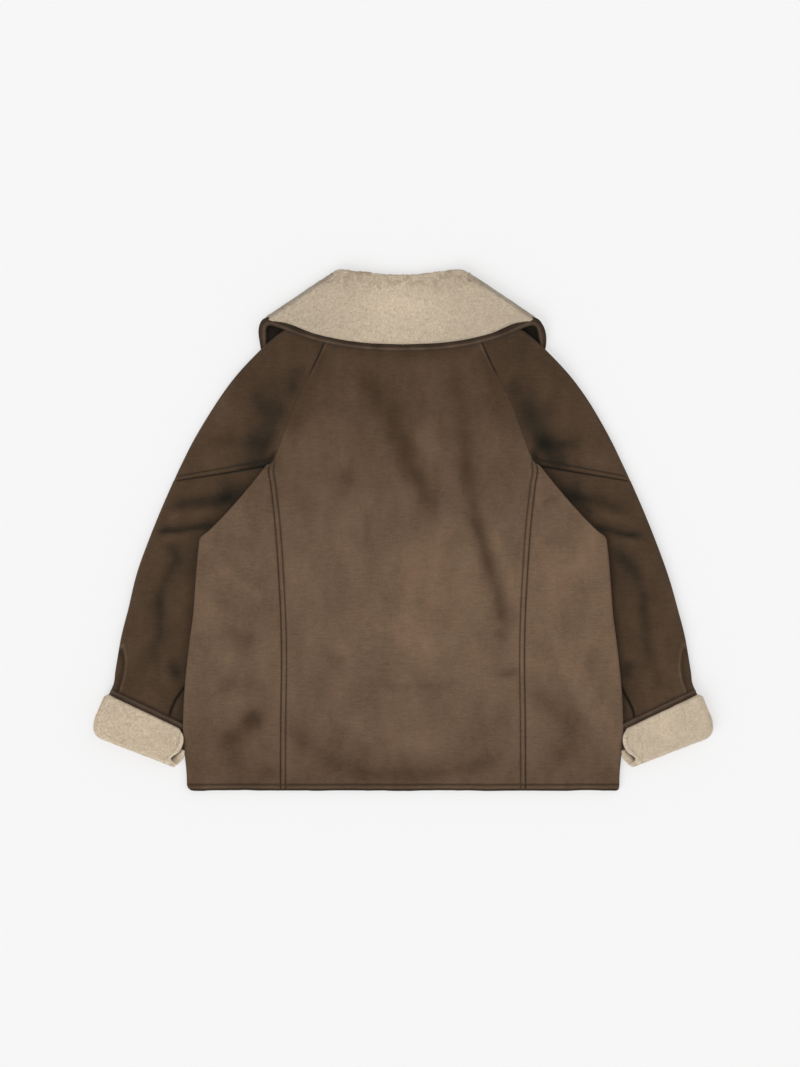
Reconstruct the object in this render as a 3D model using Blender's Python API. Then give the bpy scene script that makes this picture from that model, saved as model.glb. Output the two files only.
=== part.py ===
"""A cropped jacket of double-faced cloth, suede outside and pile inside, laid flat on its front.

Metres, +Z up. X runs across the jacket, +Y from the hem to the collar, and Z = 0 is the surface it
lies on. The origin is under the middle of its outline. From the surface up lie the front of the
collar, the sleeves and the fronts, then the back, then the back of the collar. The sides of the
body lie over the inner edges of the sleeves.

Every piece is a wall between two sheets of points, CLOTH apart, and SEAM clear of its neighbours.
The tables are in millimetres for the +X half, and the other half is their mirror image.
"""

import math

import bpy
import numpy as np

MM = 0.001
CLOTH = 0.004            # suede bonded to its pile
SEAM = 0.0003            # between two pieces sewn edge to edge, or lying on each other
AIR = 0.001              # inside the jacket, between its under layer and its upper layer
SLEEVE_AIR = 0.003       # the same inside the lower sleeve, at its fullest
CUFF_AIR = 0.0018        # the same inside the cuff
FOLD_STEPS = 4           # faces round a flattened side edge
TURN_STEPS = 4           # faces round the roll of the collar and the fold of the cuff
EDGE_STEPS = 3           # faces round the rolled side edge of the back
EDGE_BEND = CLOTH + SEAM   # outer radius of that edge
COLLAR_HALF = AIR / 2 + 2 * CLOTH + SEAM       # half the height of the whole collar, pressed flat
CUFF_HALF = CUFF_AIR / 2 + 2 * CLOTH + SEAM    # the same of the cuff round the sleeve
COLLAR_LIFT = CLOTH + SEAM
NEAR_CUFF = (-0.160, -0.215)   # Y between which the sleeve thickens
SLEEVE_LIFT = 2 * CLOTH + SLEEVE_AIR + 0.0004
CUFF_LIFT = 0.0032       # added where the sleeve thickens towards its cuff
COLLAR_CLIMB = dict(ramp=0.045, margin=0.022)   # how a layer climbs onto the collar's front:
SLEEVE_CLIMB = dict(ramp=0.030, margin=0.010)   # length of the climb, and where it is done
BINDING = 0.009          # width of the strip that binds an edge
BINDING_RISE = 0.0008    # how far the strip stands above the edge it binds

SUEDE = (0.135, 0.090, 0.060)
SUEDE_DARK = (0.060, 0.036, 0.022)
PILE = (0.560, 0.450, 0.330)

# Half width of the middle of the back: long seam up to 83, then the slanted sleeve seam.
BACK_SEAM = dict(
    y=(-337.5, -300.0, -246.0, -162.0, -106.0, -48.0, 14.0, 60.0, 83.0,
       92.0, 104.0, 132.0, 175.0, 209.0, 243.0, 284.0),
    x=(159.3, 159.3, 159.0, 158.0, 159.3, 162.4, 166.7, 171.8, 174.0,
       168.5, 163.0, 153.0, 136.5, 119.0, 103.0, 84.5),
)
# The side of the body: a point of the long seam, and the point of the outer edge that faces it.
SIDE_EDGE = dict(
    seam_y=(-337.5, -331.0, -314.0, -275.0, -218.0, -162.0, -106.0, -65.0, -21.0,
            8.0, 32.0, 50.0, 64.0, 75.0, 83.0),
    x=(275.0, 280.0, 281.5, 285.0, 284.0, 279.0, 272.0, 269.0, 265.0,
       262.0, 251.0, 234.0, 214.0, 196.0, 181.5),
    y=(-337.5, -331.0, -314.0, -275.0, -218.0, -162.0, -106.0, -65.0, -21.0,
       -8.0, 1.0, 18.0, 40.0, 62.0, 84.0),
)
# The shoulder piece: a point of the sleeve seam, and the point of the outline that faces it.
SHOULDER = dict(
    seam_y=(92.0, 104.0, 130.0, 160.0, 190.0, 215.0, 243.0, 265.0, 284.0),
    x=(283.0, 273.0, 258.0, 238.0, 217.0, 195.0, 172.0, 150.0, 126.0),
    y=(91.0, 112.0, 140.0, 173.0, 201.0, 225.0, 247.0, 264.0, 280.0),
)
CROSS_SEAM = dict(inner=(174.8, 84.2), outer=(295.5, 64.5))
# The lower sleeve, from the cross seam down: outline, inner edge, and heights of its two faces.
SLEEVE = dict(
    outer_x=(295.5, 312.0, 330.0, 346.0, 357.0, 366.0, 371.0, 374.0, 376.0),
    outer_y=(64.1, 27.0, -18.0, -63.0, -102.0, -137.0, -165.0, -184.0, -199.0),
    inner_x=(184.0, 186.0, 192.0, 204.0, 220.0, 238.0, 252.0, 268.0, 285.6),
    inner_y=(82.2, 48.0, 0.0, -60.0, -115.0, -160.0, -192.0, -222.0, -245.5),
    low=(0.0, 0.0, 0.0, 0.0, 0.0, 0.0, 0.0, 1.0, 4.3),
    air=(1.0, 2.0, 3.0, 3.0, 3.0, 3.0, 2.6, 2.0, 1.8),
)
# The cuff from its bound edge (0) to its fold (1): outer side, and the split ends of both layers.
CUFF = dict(
    along=(0.0, 0.35, 0.7, 1.0),
    outer_x=(385.5, 392.0, 399.5, 399.5),
    outer_y=(-211.0, -228.0, -246.5, -262.0),
    upper_x=(288.5, 286.5, 291.5, 305.5),
    upper_y=(-259.0, -273.0, -286.5, -300.5),
    under_x=(287.5, 286.3, 286.0, 295.5),
    under_y=(-259.0, -274.0, -290.0, -303.0),
)
CUFF_ROWS = (0.2, 0.4, 0.62, 0.82)   # rows of points along it: it joins the sleeve at the third
SLEEVE_TUCK = 0.001      # the sleeve's inner edge stays this far inside the cuff's split
# The collar's rings, from the middle of the back to the fold over the shoulder.
COLLAR_BACK = dict(
    share=(0.0, 0.30, 0.60, 0.85, 1.0),
    roll_x=(0.0, 30.0, 56.0, 76.0, 84.5),
    roll_y=(328.0, 330.0, 333.7, 333.9, 327.5),
    edge_x=(0.0, 58.0, 112.0, 150.0, 169.5),
    edge_y=(242.0, 245.0, 255.5, 270.0, 270.5),
)
# The same rings under the jacket, from that fold to the middle of the front.
COLLAR_FRONT = dict(
    seam_x=(121.5, 103.0, 84.5, 81.6, 73.3, 58.1, 36.1, 10.6, 4.5),
    seam_y=(280.7, 282.5, 284.3, 280.4, 265.3, 243.3, 215.4, 190.4, 173.3),
    roll_x=(84.5, 81.0, 78.0, 75.0, 68.0, 53.0, 33.0, 13.0, 5.5),
    roll_y=(327.5, 320.0, 313.0, 304.0, 288.0, 262.0, 232.0, 207.0, 192.0),
    edge_x=(169.5, 178.5, 178.5, 171.0, 156.0, 125.0, 86.0, 34.0, 5.5),
    edge_y=(270.5, 255.0, 237.0, 214.0, 193.0, 166.0, 149.0, 138.5, 135.0),
)
COLLAR_SIDE = dict(seam=(0.995, -0.10), fall=(0.60, 0.80))   # which way the collar folds
SHOULDER_FOLD_X = 121.5  # where the neck edge turns under
NECK_DIP = 5.0           # the back of the neck is this much lower in its middle
COLLAR_SAG = 0.005       # the roll sinks this far behind the neck
SAG_FROM = 0.291         # Y where it starts to sink
NECKLINE = dict(
    y=(190.0, 215.0, 243.0, 265.0, 280.0),
    x=(11.0, 36.5, 58.5, 73.7, 82.0),
)
# Edge of the collar's front, and inner edge of the sleeve, which upper layers climb onto.
UNDER_COLLAR = ((186.0, 300.0), (185.5, 262.0), (184.5, 229.0), (165.0, 189.0), (125.0, 155.0),
                (66.0, 134.0), (0.0, 126.0), (-66.0, 134.0))
UNDER_SLEEVE = ((187.0, 72.0), (188.0, 48.0), (192.0, 0.0), (204.0, -60.0), (220.0, -115.0),
                (238.0, -160.0), (252.0, -192.0), (268.0, -222.0), (285.0, -243.0))
# Soft folds of the back: ends, half width and height.
BACK_FOLDS = dict(
    x0=(-36.0, 92.0, 96.0, -214.0, -60.0, -150.0, 190.0, 20.0),
    y0=(196.0, 6.0, -152.0, -110.0, -262.0, 20.0, -210.0, -40.0),
    x1=(24.0, 130.0, 140.0, -230.0, -120.0, -120.0, 214.0, -30.0),
    y1=(60.0, -120.0, -186.0, -250.0, -286.0, 120.0, -300.0, -190.0),
    wide=(34.0, 26.0, 30.0, 28.0, 26.0, 30.0, 28.0, 46.0),
    high=(2.0, 1.8, 1.4, 1.6, 1.4, 1.5, 1.5, 1.8),
)
CALM = (0.150, 0.215)    # the back lies flat from here up, under the collar
# Heights along Y where the back's rows of points lie.
LOWER_ROWS = (-337.5, -320.0, -290.0, -258.0, -226.0, -194.0, -162.0, -130.0, -98.0, -66.0, -44.0,
              -24.0, -6.0, 14.0, 34.0, 50.0, 64.0, 75.0, 83.0)
UPPER_ROWS = (92.0, 104.0, 130.0, 160.0, 190.0, 215.0, 243.0, 265.0, 284.0)
HALF_COLUMNS = 7         # faces across half the middle of the back
SIDE_COLUMNS = 5         # across its side
SLEEVE_COLUMNS = 7       # across a sleeve or a cuff
SHOULDER_COLUMNS = 3     # along the neck edge of the shoulder piece
SHARP_ANGLE = 50.0       # degrees


def clear_scene():
    """Remove what a new Blender file holds."""
    for item in list(bpy.data.objects):
        bpy.data.objects.remove(item, do_unlink=True)


def finish(name, color, roughness):
    """A plain material for one piece."""
    material = bpy.data.materials.new(name)
    material.use_nodes = True
    shader = material.node_tree.nodes["Principled BSDF"]
    shader.inputs["Base Color"].default_value = (*color, 1.0)
    shader.inputs["Roughness"].default_value = roughness
    shader.inputs["Metallic"].default_value = 0.0
    return material


def smooth_step(share):
    """0 up to share 0, 1 from share 1, and a soft S between."""
    share = np.clip(share, 0.0, 1.0)
    return share * share * (3.0 - 2.0 * share)


def through(at, keys, values):
    """A smooth curve through a table: cubic pieces, each end's slope the mean of its two chords."""
    keys = np.asarray(keys, float)
    values = np.asarray(values, float)
    at = np.clip(np.asarray(at, float), keys[0], keys[-1])
    chords = np.diff(values) / np.diff(keys)
    slopes = np.concatenate(([chords[0]], (chords[1:] + chords[:-1]) / 2.0, [chords[-1]]))
    left = np.clip(np.searchsorted(keys, at, side="right") - 1, 0, len(keys) - 2)
    width = keys[left + 1] - keys[left]
    share = (at - keys[left]) / width
    start = (1.0 + 2.0 * share) * (1.0 - share) ** 2 * values[left]
    end = share ** 2 * (3.0 - 2.0 * share) * values[left + 1]
    lean = share * (1.0 - share) ** 2 * slopes[left] - share ** 2 * (1.0 - share) * slopes[left + 1]
    return start + end + lean * width


def unit(vectors):
    """The same directions, one metre long."""
    return vectors / np.linalg.norm(vectors, axis=-1, keepdims=True)


def beyond(points, chain):
    """Distance from a chain of straight runs: above 0 to the left of its way, below 0 to the right."""
    chain = np.asarray(chain) * MM
    start = chain[:-1]
    run = chain[1:] - start
    offset = points[..., None, :] - start
    share = np.clip((offset * run).sum(-1) / (run * run).sum(-1), 0.0, 1.0)
    gap = np.linalg.norm(offset - share[..., None] * run, axis=-1)
    nearest = gap.argmin(-1)[..., None]
    turn = run[:, 0] * offset[..., 1] - run[:, 1] * offset[..., 0]
    side = np.sign(np.take_along_axis(turn, nearest, -1))[..., 0]
    return side * np.take_along_axis(gap, nearest, -1)[..., 0]


def climb(points, chain, inside, ramp, margin):
    """Share of its climb that a layer has done onto what lies beyond a chain of points."""
    plan = np.stack((np.abs(points[..., 0]), points[..., 1]), -1)
    ahead = inside * beyond(plan, chain)
    return smooth_step(1.0 + (ahead + margin) / ramp)


def over_collar(points):
    """How high the front of the collar carries what lies over it."""
    return COLLAR_LIFT * climb(points, UNDER_COLLAR, -1.0, **COLLAR_CLIMB)


def body_floor(points):
    """Underside of the fronts: on the surface, on the collar's front, or on the sleeves."""
    near_cuff = smooth_step((NEAR_CUFF[0] - points[..., 1]) / (NEAR_CUFF[0] - NEAR_CUFF[1]))
    over_sleeve = (SLEEVE_LIFT + CUFF_LIFT * near_cuff) * climb(points, UNDER_SLEEVE, 1.0, **SLEEVE_CLIMB)
    return over_collar(points) + over_sleeve


def soft_folds(points):
    """Height of the back's soft folds: a round ridge along each line of the table."""
    rise = np.zeros(points.shape[:-1])
    for x0, y0, x1, y1, wide, high in zip(*BACK_FOLDS.values()):
        start = np.array((x0, y0)) * MM
        run = np.array((x1, y1)) * MM - start
        share = np.clip(((points - start) @ run) / (run @ run), 0.0, 1.0)
        gap = np.linalg.norm(points - start - share[..., None] * run, axis=-1)
        rise = np.maximum(rise, high * MM * np.exp(-(gap / (wide * MM)) ** 2))
    return rise * (1.0 - smooth_step((points[..., 1] - CALM[0]) / (CALM[1] - CALM[0])))


def wall(name, faces, color, roughness, around=False, keep=None):
    """A closed wall between two sheets of points: rows x columns x 3 each, split on one diagonal.

    around joins the last column to the first, and keep leaves out cells of the grid.
    """
    first, second = faces
    rows, columns = first.shape[:2]
    last = columns if around else columns - 1
    points = np.concatenate((first.reshape(-1, 3), second.reshape(-1, 3)))
    shift = rows * columns
    triangles = []
    edges = {}
    for row in range(rows - 1):
        for column in range(last):
            if keep is not None and not keep[row, column]:
                continue
            a = row * columns + column
            b = row * columns + (column + 1) % columns
            c, d = b + columns, a + columns
            triangles += [(a, b, c), (a, c, d), (c + shift, b + shift, a + shift),
                          (d + shift, c + shift, a + shift)]
            for edge in ((a, b), (b, c), (c, d), (d, a)):
                if edge[::-1] in edges:
                    del edges[edge[::-1]]
                else:
                    edges[edge] = True
    for start, end in edges:
        triangles += [(end, start, start + shift), (end, start + shift, end + shift)]
    used = np.unique(np.array(triangles))
    place = np.zeros(len(points), int)
    place[used] = np.arange(len(used))
    mesh = bpy.data.meshes.new(name)
    mesh.from_pydata(points[used].tolist(), [], place[np.array(triangles)].tolist())
    if volume(points, np.array(triangles)) < 0.0:
        mesh.flip_normals()
    mesh.shade_smooth()
    mesh.set_sharp_from_angle(angle=math.radians(SHARP_ANGLE))
    mesh.materials.append(finish(name, color, roughness))
    piece = bpy.data.objects.new(name, mesh)
    bpy.context.collection.objects.link(piece)
    return piece


def volume(points, triangles):
    """Volume inside a closed mesh, below 0 where its faces point inwards."""
    a, b, c = (points[triangles[:, corner]] for corner in range(3))
    return (np.cross(a, b) * c).sum() / 6.0


def mirrored(faces, side):
    """The same two sheets on the +X side (1) or the -X side (-1)."""
    return tuple(sheet * np.array((side, 1.0, 1.0)) for sheet in faces)


def raised(plan, heights):
    """Points over a plan at the given heights."""
    return np.concatenate((plan, np.broadcast_to(heights, plan.shape[:-1])[..., None]), -1)


def back_half_width(y):
    """Distance of the back's long seam and sleeve seam from the middle."""
    return through(y, BACK_SEAM["y"], BACK_SEAM["x"]) * MM


def neck_edge(x):
    """Y of the neck edge: a shallow dip behind the neck, then a straight run to the shoulder fold."""
    corner = BACK_SEAM["x"][-1] * MM
    x = np.abs(x)
    top = BACK_SEAM["y"][-1] * MM
    dip = NECK_DIP * MM * (1.0 - np.minimum(x / corner, 1.0) ** 2)
    fall = (top - SHOULDER["y"][-1] * MM) / (SHOULDER["x"][-1] * MM - corner)
    return top - dip - fall * np.maximum(x - corner, 0.0)


def back_rows(inset):
    """Plan of the middle of the back: one row of points for each height of the tables."""
    rows = np.array(LOWER_ROWS + UPPER_ROWS)
    across = np.linspace(-1.0, 1.0, 2 * HALF_COLUMNS + 1)
    x = (back_half_width(rows) - inset)[:, None] * across
    near_neck = smooth_step((rows - UPPER_ROWS[-4]) / (UPPER_ROWS[-1] - UPPER_ROWS[-4]))[:, None]
    y = rows[:, None] * MM + near_neck * (neck_edge(x) - UPPER_ROWS[-1] * MM)
    return np.stack((x, y), -1)


def side_rows(inset):
    """Plan of the flat part of the body's side, and the way its rows run."""
    rows = np.array(LOWER_ROWS)
    seam = np.stack((back_half_width(rows) + inset, rows * MM), -1)
    edge = np.stack([through(rows, SIDE_EDGE["seam_y"], SIDE_EDGE[key]) for key in "xy"], -1) * MM
    way = unit(edge - seam)
    end = edge - EDGE_BEND * way
    share = np.linspace(0.0, 1.0, SIDE_COLUMNS + 1)[:, None]
    return seam[:, None] * (1.0 - share) + end[:, None] * share, way


def make_back():
    """The middle of the back: it lies AIR above the fronts, and higher along its soft folds."""
    plan = back_rows(SEAM / 2)
    under = body_floor(plan) + CLOTH + AIR + soft_folds(plan)
    wall("back_center", (raised(plan, under + CLOTH), raised(plan, under)), SUEDE, 0.85)


def make_back_side(name, side):
    """The side of the back: flat, then a quarter round at its outer edge down to the fronts' level."""
    plan, way = side_rows(SEAM / 2)
    mirror = np.array((side, 1.0))
    floor = body_floor(plan)
    under = floor + CLOTH + AIR + soft_folds(plan * mirror)
    outer = [raised(plan, under + CLOTH)]
    inner = [raised(plan, under)]
    end = plan[:, -1]
    level = under[:, -1]
    for angle in np.linspace(0.0, math.pi / 2, EDGE_STEPS + 1)[1:]:
        for sheet, radius in ((outer, EDGE_BEND), (inner, SEAM)):
            centre = level - SEAM
            point = end + way * radius * math.sin(angle)
            sheet.append(raised(point, centre + radius * math.cos(angle))[:, None])
    for sheet, radius in ((outer, EDGE_BEND), (inner, SEAM)):
        sheet.append(raised(end + way * radius, floor[:, -1])[:, None])
    faces = (np.concatenate(outer, 1), np.concatenate(inner, 1))
    wall(name, mirrored(faces, side), SUEDE, 0.85)


def make_front(name, side):
    """One front: under the back and its side, cut away at the neck, open down the middle."""
    rows = np.array(LOWER_ROWS + UPPER_ROWS)
    rows[-1] = NECKLINE["y"][-1]
    inner = np.where(rows < NECKLINE["y"][0], 0.0, np.interp(rows, NECKLINE["y"], NECKLINE["x"]) * MM)
    outer = back_half_width(rows) - np.where(rows > LOWER_ROWS[-1], SEAM / 2, 0.0)
    share = np.linspace(0.0, 1.0, HALF_COLUMNS + 1)
    x = np.maximum(inner, SEAM / 2)[:, None] * (1.0 - share) + outer[:, None] * share
    middle = np.stack((x, np.broadcast_to(rows[:, None] * MM, x.shape)), -1)
    beside = np.repeat(middle[:, -1:], SIDE_COLUMNS, 1)
    beside[:len(LOWER_ROWS)] = side_rows(SEAM / 2)[0][:, 1:]
    plan = np.concatenate((middle, beside), 1)
    keep = np.ones((len(rows) - 1, plan.shape[1] - 1), bool)
    keep[len(LOWER_ROWS) - 1:, HALF_COLUMNS:] = False
    floor = body_floor(plan)
    faces = (raised(plan, floor + CLOTH), raised(plan, floor))
    wall(name, mirrored(faces, side), SUEDE, 0.85, keep=keep)


def fold_round(centre, out, low, high):
    """Points of a half round from the upper face to the under face, bulging along `out`."""
    angle = np.linspace(math.pi / 2, -math.pi / 2, FOLD_STEPS + 1)[1:-1]
    half = (high - low) / 2.0
    plan = centre + out * (half * np.cos(angle))[:, None]
    return raised(plan, (high + low) / 2.0 + half * np.sin(angle))


def make_sleeve_upper(name, side):
    """The shoulder piece: an upper and an under layer in one, joined round the sleeve's outline."""
    share = np.linspace(0.0, 1.0, SLEEVE_COLUMNS + 1)[:, None]
    sheets = ([], [])
    lines = []
    for row, out_x, out_y in zip(SHOULDER["seam_y"], SHOULDER["x"], SHOULDER["y"]):
        seam_x = back_half_width(row) + SEAM / 2
        lines.append((np.array((seam_x, row * MM)), np.array((out_x, out_y)) * MM))
    lines.insert(0, tuple(np.array(CROSS_SEAM[end]) * MM for end in ("inner", "outer")))
    for seam, outline in lines:
        way = unit(outline - seam)
        centre = outline - way * (CLOTH + AIR / 2)
        run = seam * (1.0 - share) + centre * share
        floor = over_collar(run)
        for sheet, inset in zip(sheets, (0.0, CLOTH)):
            high = floor + 2 * CLOTH + AIR - inset
            low = floor + inset
            turn = fold_round(centre, way, low[-1], high[-1])
            sheet.append(np.concatenate((raised(run, high), turn, raised(run, low)[::-1])))
    wall(name, mirrored([np.array(sheet) for sheet in sheets], side), SUEDE_DARK, 0.85)


def make_sleeve_lower(name, side):
    """The sleeve tube, pressed flat: a round edge at its outline and at its inner side."""
    share = np.linspace(0.0, 1.0, SLEEVE_COLUMNS + 1)[:, None]
    sheets = ([], [])
    lines = []
    for out_x, out_y, in_x, in_y, low, air in zip(*SLEEVE.values()):
        outer = np.array((out_x, out_y)) * MM
        inner = np.array((in_x, in_y)) * MM
        way = unit(outer - inner)
        half = CLOTH + air * MM / 2
        lines.append((inner + way * half, outer - way * half, way, low * MM, half))
    for along, past in ((CUFF_ROWS[0], 0.0), (CUFF_ROWS[1], 0.0), (CUFF_ROWS[2], -SEAM)):
        layer, _, way = cuff_plan(along, past)
        half = CLOTH + CUFF_AIR / 2
        lines.append((layer[0] + way * (half + SLEEVE_TUCK), layer[-1], way, CUFF_HALF - half, half))
    for start, end, way, low, half in lines:
        run = start * (1.0 - share) + end * share
        for sheet, inset in zip(sheets, (0.0, CLOTH)):
            base = low + inset
            top = low + 2 * half - inset
            outside = fold_round(end, way, base, top)
            inside = fold_round(start, -way, base, top)[::-1]
            sheet.append(np.concatenate((raised(run, top), outside, raised(run, base)[::-1], inside)))
    wall(name, mirrored([np.array(sheet) for sheet in sheets], side), SUEDE_DARK, 0.85, around=True)


def turned_back(inner_leg, outer_leg, air):
    """Stations of cloth that turns back on itself, for its pile face and its suede face.

    Each row: place along the leg, how far past the turn, and height above the middle, for each face.
    """
    near = air / 2
    bend = CLOTH + SEAM / 2
    middle = near + bend
    rows = [(along, (0.0, near), (0.0, near + CLOTH)) for along in inner_leg]
    for angle in np.linspace(0.0, math.pi, TURN_STEPS + 1)[1:-1]:
        pile = (bend * math.sin(angle), middle - bend * math.cos(angle))
        suede = (SEAM / 2 * math.sin(angle), middle - SEAM / 2 * math.cos(angle))
        rows.append((inner_leg[-1], pile, suede))
    rows += [(along, (0.0, middle + bend), (0.0, middle + SEAM / 2)) for along in outer_leg]
    return rows


def ring(upper, under, out, middle, half):
    """A flattened ring: along `upper`, round the fold at its end, and back along `under`."""
    low = np.maximum(middle - half, 0.0)
    turn = fold_round(upper[-1], out, low, middle + half)
    return np.concatenate((raised(upper, middle + half), turn, raised(under, low)))


def cuff_plan(along, past):
    """The cuff's two layers at a place between its bound edge (0) and its fold (1), moved on by past."""
    table = {key: through(along, CUFF["along"], values) for key, values in CUFF.items()}
    step = {key: through(1.0, CUFF["along"], values) - through(0.0, CUFF["along"], values)
            for key, values in CUFF.items()}
    outer, upper, under = (np.array((table[key + "_x"], table[key + "_y"])) * MM
                           for key in ("outer", "upper", "under"))
    moved = unit(np.array((step["outer_x"], step["outer_y"]))) * past
    way = unit(outer - upper)
    centre = outer - way * CUFF_HALF
    share = np.linspace(0.0, 1.0, SLEEVE_COLUMNS + 1)[:, None]
    top = upper * (1.0 - share) + centre * share + moved
    bottom = centre * (1.0 - share) + under * share + moved
    return top, bottom, way


def make_cuff(name, side):
    """The cuff: joined to the sleeve, folded outwards and turned back over it, pile outside."""
    sheets = ([], [])
    stations = turned_back((*CUFF_ROWS[2:], 1.0), (1.0, *CUFF_ROWS[::-1], 0.0), CUFF_AIR)
    for along, *faces in stations:
        for sheet, (past, half) in zip(sheets, faces):
            sheet.append(ring(*cuff_plan(along, past), CUFF_HALF, half))
    wall(name, mirrored([np.array(sheet) for sheet in sheets], side), PILE, 0.95)


def binding_profile(reach):
    """Stations across a binding: distance from the bound edge, and how far its outer face rises."""
    return ((SEAM, 0.0), (0.3 * reach, BINDING_RISE), (0.75 * reach, BINDING_RISE),
            (reach, -BINDING_RISE))


def make_cuff_binding(name, side):
    """The strip round the cuff's upper edge."""
    sheets = ([], [])
    for reach, rise in binding_profile(BINDING):
        for sheet, half in zip(sheets, (CUFF_HALF + rise, CUFF_HALF - CLOTH)):
            sheet.append(ring(*cuff_plan(0.0, -reach), CUFF_HALF, half))
    wall(name, mirrored([np.array(sheet) for sheet in sheets], side), SUEDE_DARK, 0.8)


def collar_rings(share):
    """Plan of the collar's seam, roll and edge rings at shares of the way to the shoulder fold."""
    back = {key: through(share, COLLAR_BACK["share"], values) * MM
            for key, values in COLLAR_BACK.items()}
    seam_x = share * SHOULDER_FOLD_X * MM
    seam = np.stack((seam_x, neck_edge(seam_x) + SEAM), -1)
    roll = np.stack((back["roll_x"], back["roll_y"]), -1)
    edge = np.stack((back["edge_x"], back["edge_y"]), -1)
    return seam, roll, edge


def front_rings():
    """The same rings under the jacket, where the table's rows are the points."""
    return [np.array((COLLAR_FRONT[key + "_x"], COLLAR_FRONT[key + "_y"])).T * MM
            for key in ("seam", "roll", "edge")]


def collar_half(place, past, half):
    """Half a ring of the collar: -1 at the neck seam, 0 at the roll, 1 at the bound edge."""
    rings = []
    corner = BACK_SEAM["x"][-1] / SHOULDER_FOLD_X
    behind_neck = np.concatenate((np.linspace(0.0, corner, HALF_COLUMNS + 1),
                                  np.linspace(corner, 1.0, SHOULDER_COLUMNS + 1)[1:]))
    for seam, roll, edge in (collar_rings(behind_neck), front_rings()):
        share = max(place, 0.0)
        stand = max(-place, 0.0)
        plan = roll * (1.0 - share - stand) + edge * share + seam * stand
        rings.append(plan + unit(roll - edge) * past)
    upper, under = rings
    stand = max(-place, 0.0)
    way = unit(np.array(COLLAR_SIDE["fall"]) * (1.0 - stand) + np.array(COLLAR_SIDE["seam"]) * stand)
    points = ring(upper, under, way, COLLAR_HALF, half)
    behind = smooth_step((points[:, 1] - SAG_FROM) / (COLLAR_BACK["roll_y"][0] * MM - SAG_FROM))
    middle = np.clip(1.0 - (points[:, 0] / (COLLAR_BACK["roll_x"][-1] * MM)) ** 2, 0.0, 1.0)
    points[:len(upper), 2] -= COLLAR_SAG * (behind * middle)[:len(upper)]
    return points


def whole_ring(half_ring):
    """Both halves of a ring that starts in the middle of the back."""
    return np.concatenate((half_ring[:0:-1] * np.array((-1.0, 1.0, 1.0)), half_ring))


def make_collar():
    """The collar: stand and fall in one, rolled over all round, pile outside, open at the front."""
    sheets = ([], [])
    stations = turned_back((-1.0, -0.5, 0.0), (0.0, 0.2, 0.45, 0.7, 0.88, 1.0), AIR)
    for place, *faces in stations:
        for sheet, (past, half) in zip(sheets, faces):
            sheet.append(whole_ring(collar_half(place, past, half)))
    wall("collar", [np.array(sheet) for sheet in sheets], PILE, 0.95)


def make_collar_binding():
    """The strip round the collar's outer edge."""
    sheets = ([], [])
    for reach, rise in binding_profile(BINDING):
        for sheet, half in zip(sheets, (COLLAR_HALF + rise, COLLAR_HALF - CLOTH)):
            sheet.append(whole_ring(collar_half(1.0, -reach, half)))
    wall("collar_binding", [np.array(sheet) for sheet in sheets], SUEDE_DARK, 0.8)


clear_scene()
make_back()
make_collar()
make_collar_binding()
for mark, sign in (("R", 1.0), ("L", -1.0)):
    make_back_side("back_side_" + mark, sign)
    make_front("front_" + mark, sign)
    make_sleeve_upper("sleeve_upper_" + mark, sign)
    make_sleeve_lower("sleeve_lower_" + mark, sign)
    make_cuff("cuff_" + mark, sign)
    make_cuff_binding("cuff_binding_" + mark, sign)
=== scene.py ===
"""Finish of a cropped suede jacket with a pile collar and cuffs, laid flat on its front.

Every piece of cloth is a thin wall: two grids of points, one for each face, with a band round the
rim. The grids follow the same tables as the solids that they replace, with closer points, so that
they also carry the seams, the stitching, the creases and the pile. Metres, in the frame of the
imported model: +X to the right, +Y from the hem to the collar, +Z up. The tables are in millimetres.
"""

import math
from collections import namedtuple

import bpy
import numpy as np
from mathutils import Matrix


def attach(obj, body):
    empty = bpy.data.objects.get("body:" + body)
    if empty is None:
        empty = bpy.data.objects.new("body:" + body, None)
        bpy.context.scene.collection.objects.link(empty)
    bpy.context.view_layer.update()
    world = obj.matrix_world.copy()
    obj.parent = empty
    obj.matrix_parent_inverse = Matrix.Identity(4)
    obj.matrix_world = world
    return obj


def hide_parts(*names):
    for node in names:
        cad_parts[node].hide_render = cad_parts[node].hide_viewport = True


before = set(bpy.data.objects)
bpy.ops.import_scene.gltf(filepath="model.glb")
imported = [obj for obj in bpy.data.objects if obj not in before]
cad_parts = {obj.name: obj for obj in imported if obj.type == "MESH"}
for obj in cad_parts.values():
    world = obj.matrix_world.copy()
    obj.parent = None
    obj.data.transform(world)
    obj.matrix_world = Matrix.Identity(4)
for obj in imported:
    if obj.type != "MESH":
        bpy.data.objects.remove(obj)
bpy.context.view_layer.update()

MM = 0.001

# Sizes that the cloth shares with its solids, in metres.
CLOTH = 0.004            # suede bonded to its pile
SEAM = 0.0003            # between two pieces sewn edge to edge
LAP = 0.0007             # by which one sewn edge runs under the other
AIR = 0.001              # inside the jacket, between its under layer and its upper layer
SLEEVE_AIR = 0.003       # inside a sleeve
CUFF_AIR = 0.0018        # inside a cuff
EDGE_BEND = CLOTH + SEAM                      # radius of the bend at the body's side
COLLAR_HALF = AIR / 2 + 2 * CLOTH + SEAM      # half the height of the collar's four layers
CUFF_HALF = CUFF_AIR / 2 + 2 * CLOTH + SEAM   # and of the cuff's
# How far the collar's front, a sleeve and a cuff lift what lies over them.
COLLAR_LIFT = CLOTH + SEAM
SLEEVE_LIFT = 2 * CLOTH + SLEEVE_AIR + 0.0004
CUFF_LIFT = 0.0032
NEAR_CUFF = (-0.160, -0.215)   # Y between which CUFF_LIFT is added
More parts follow.
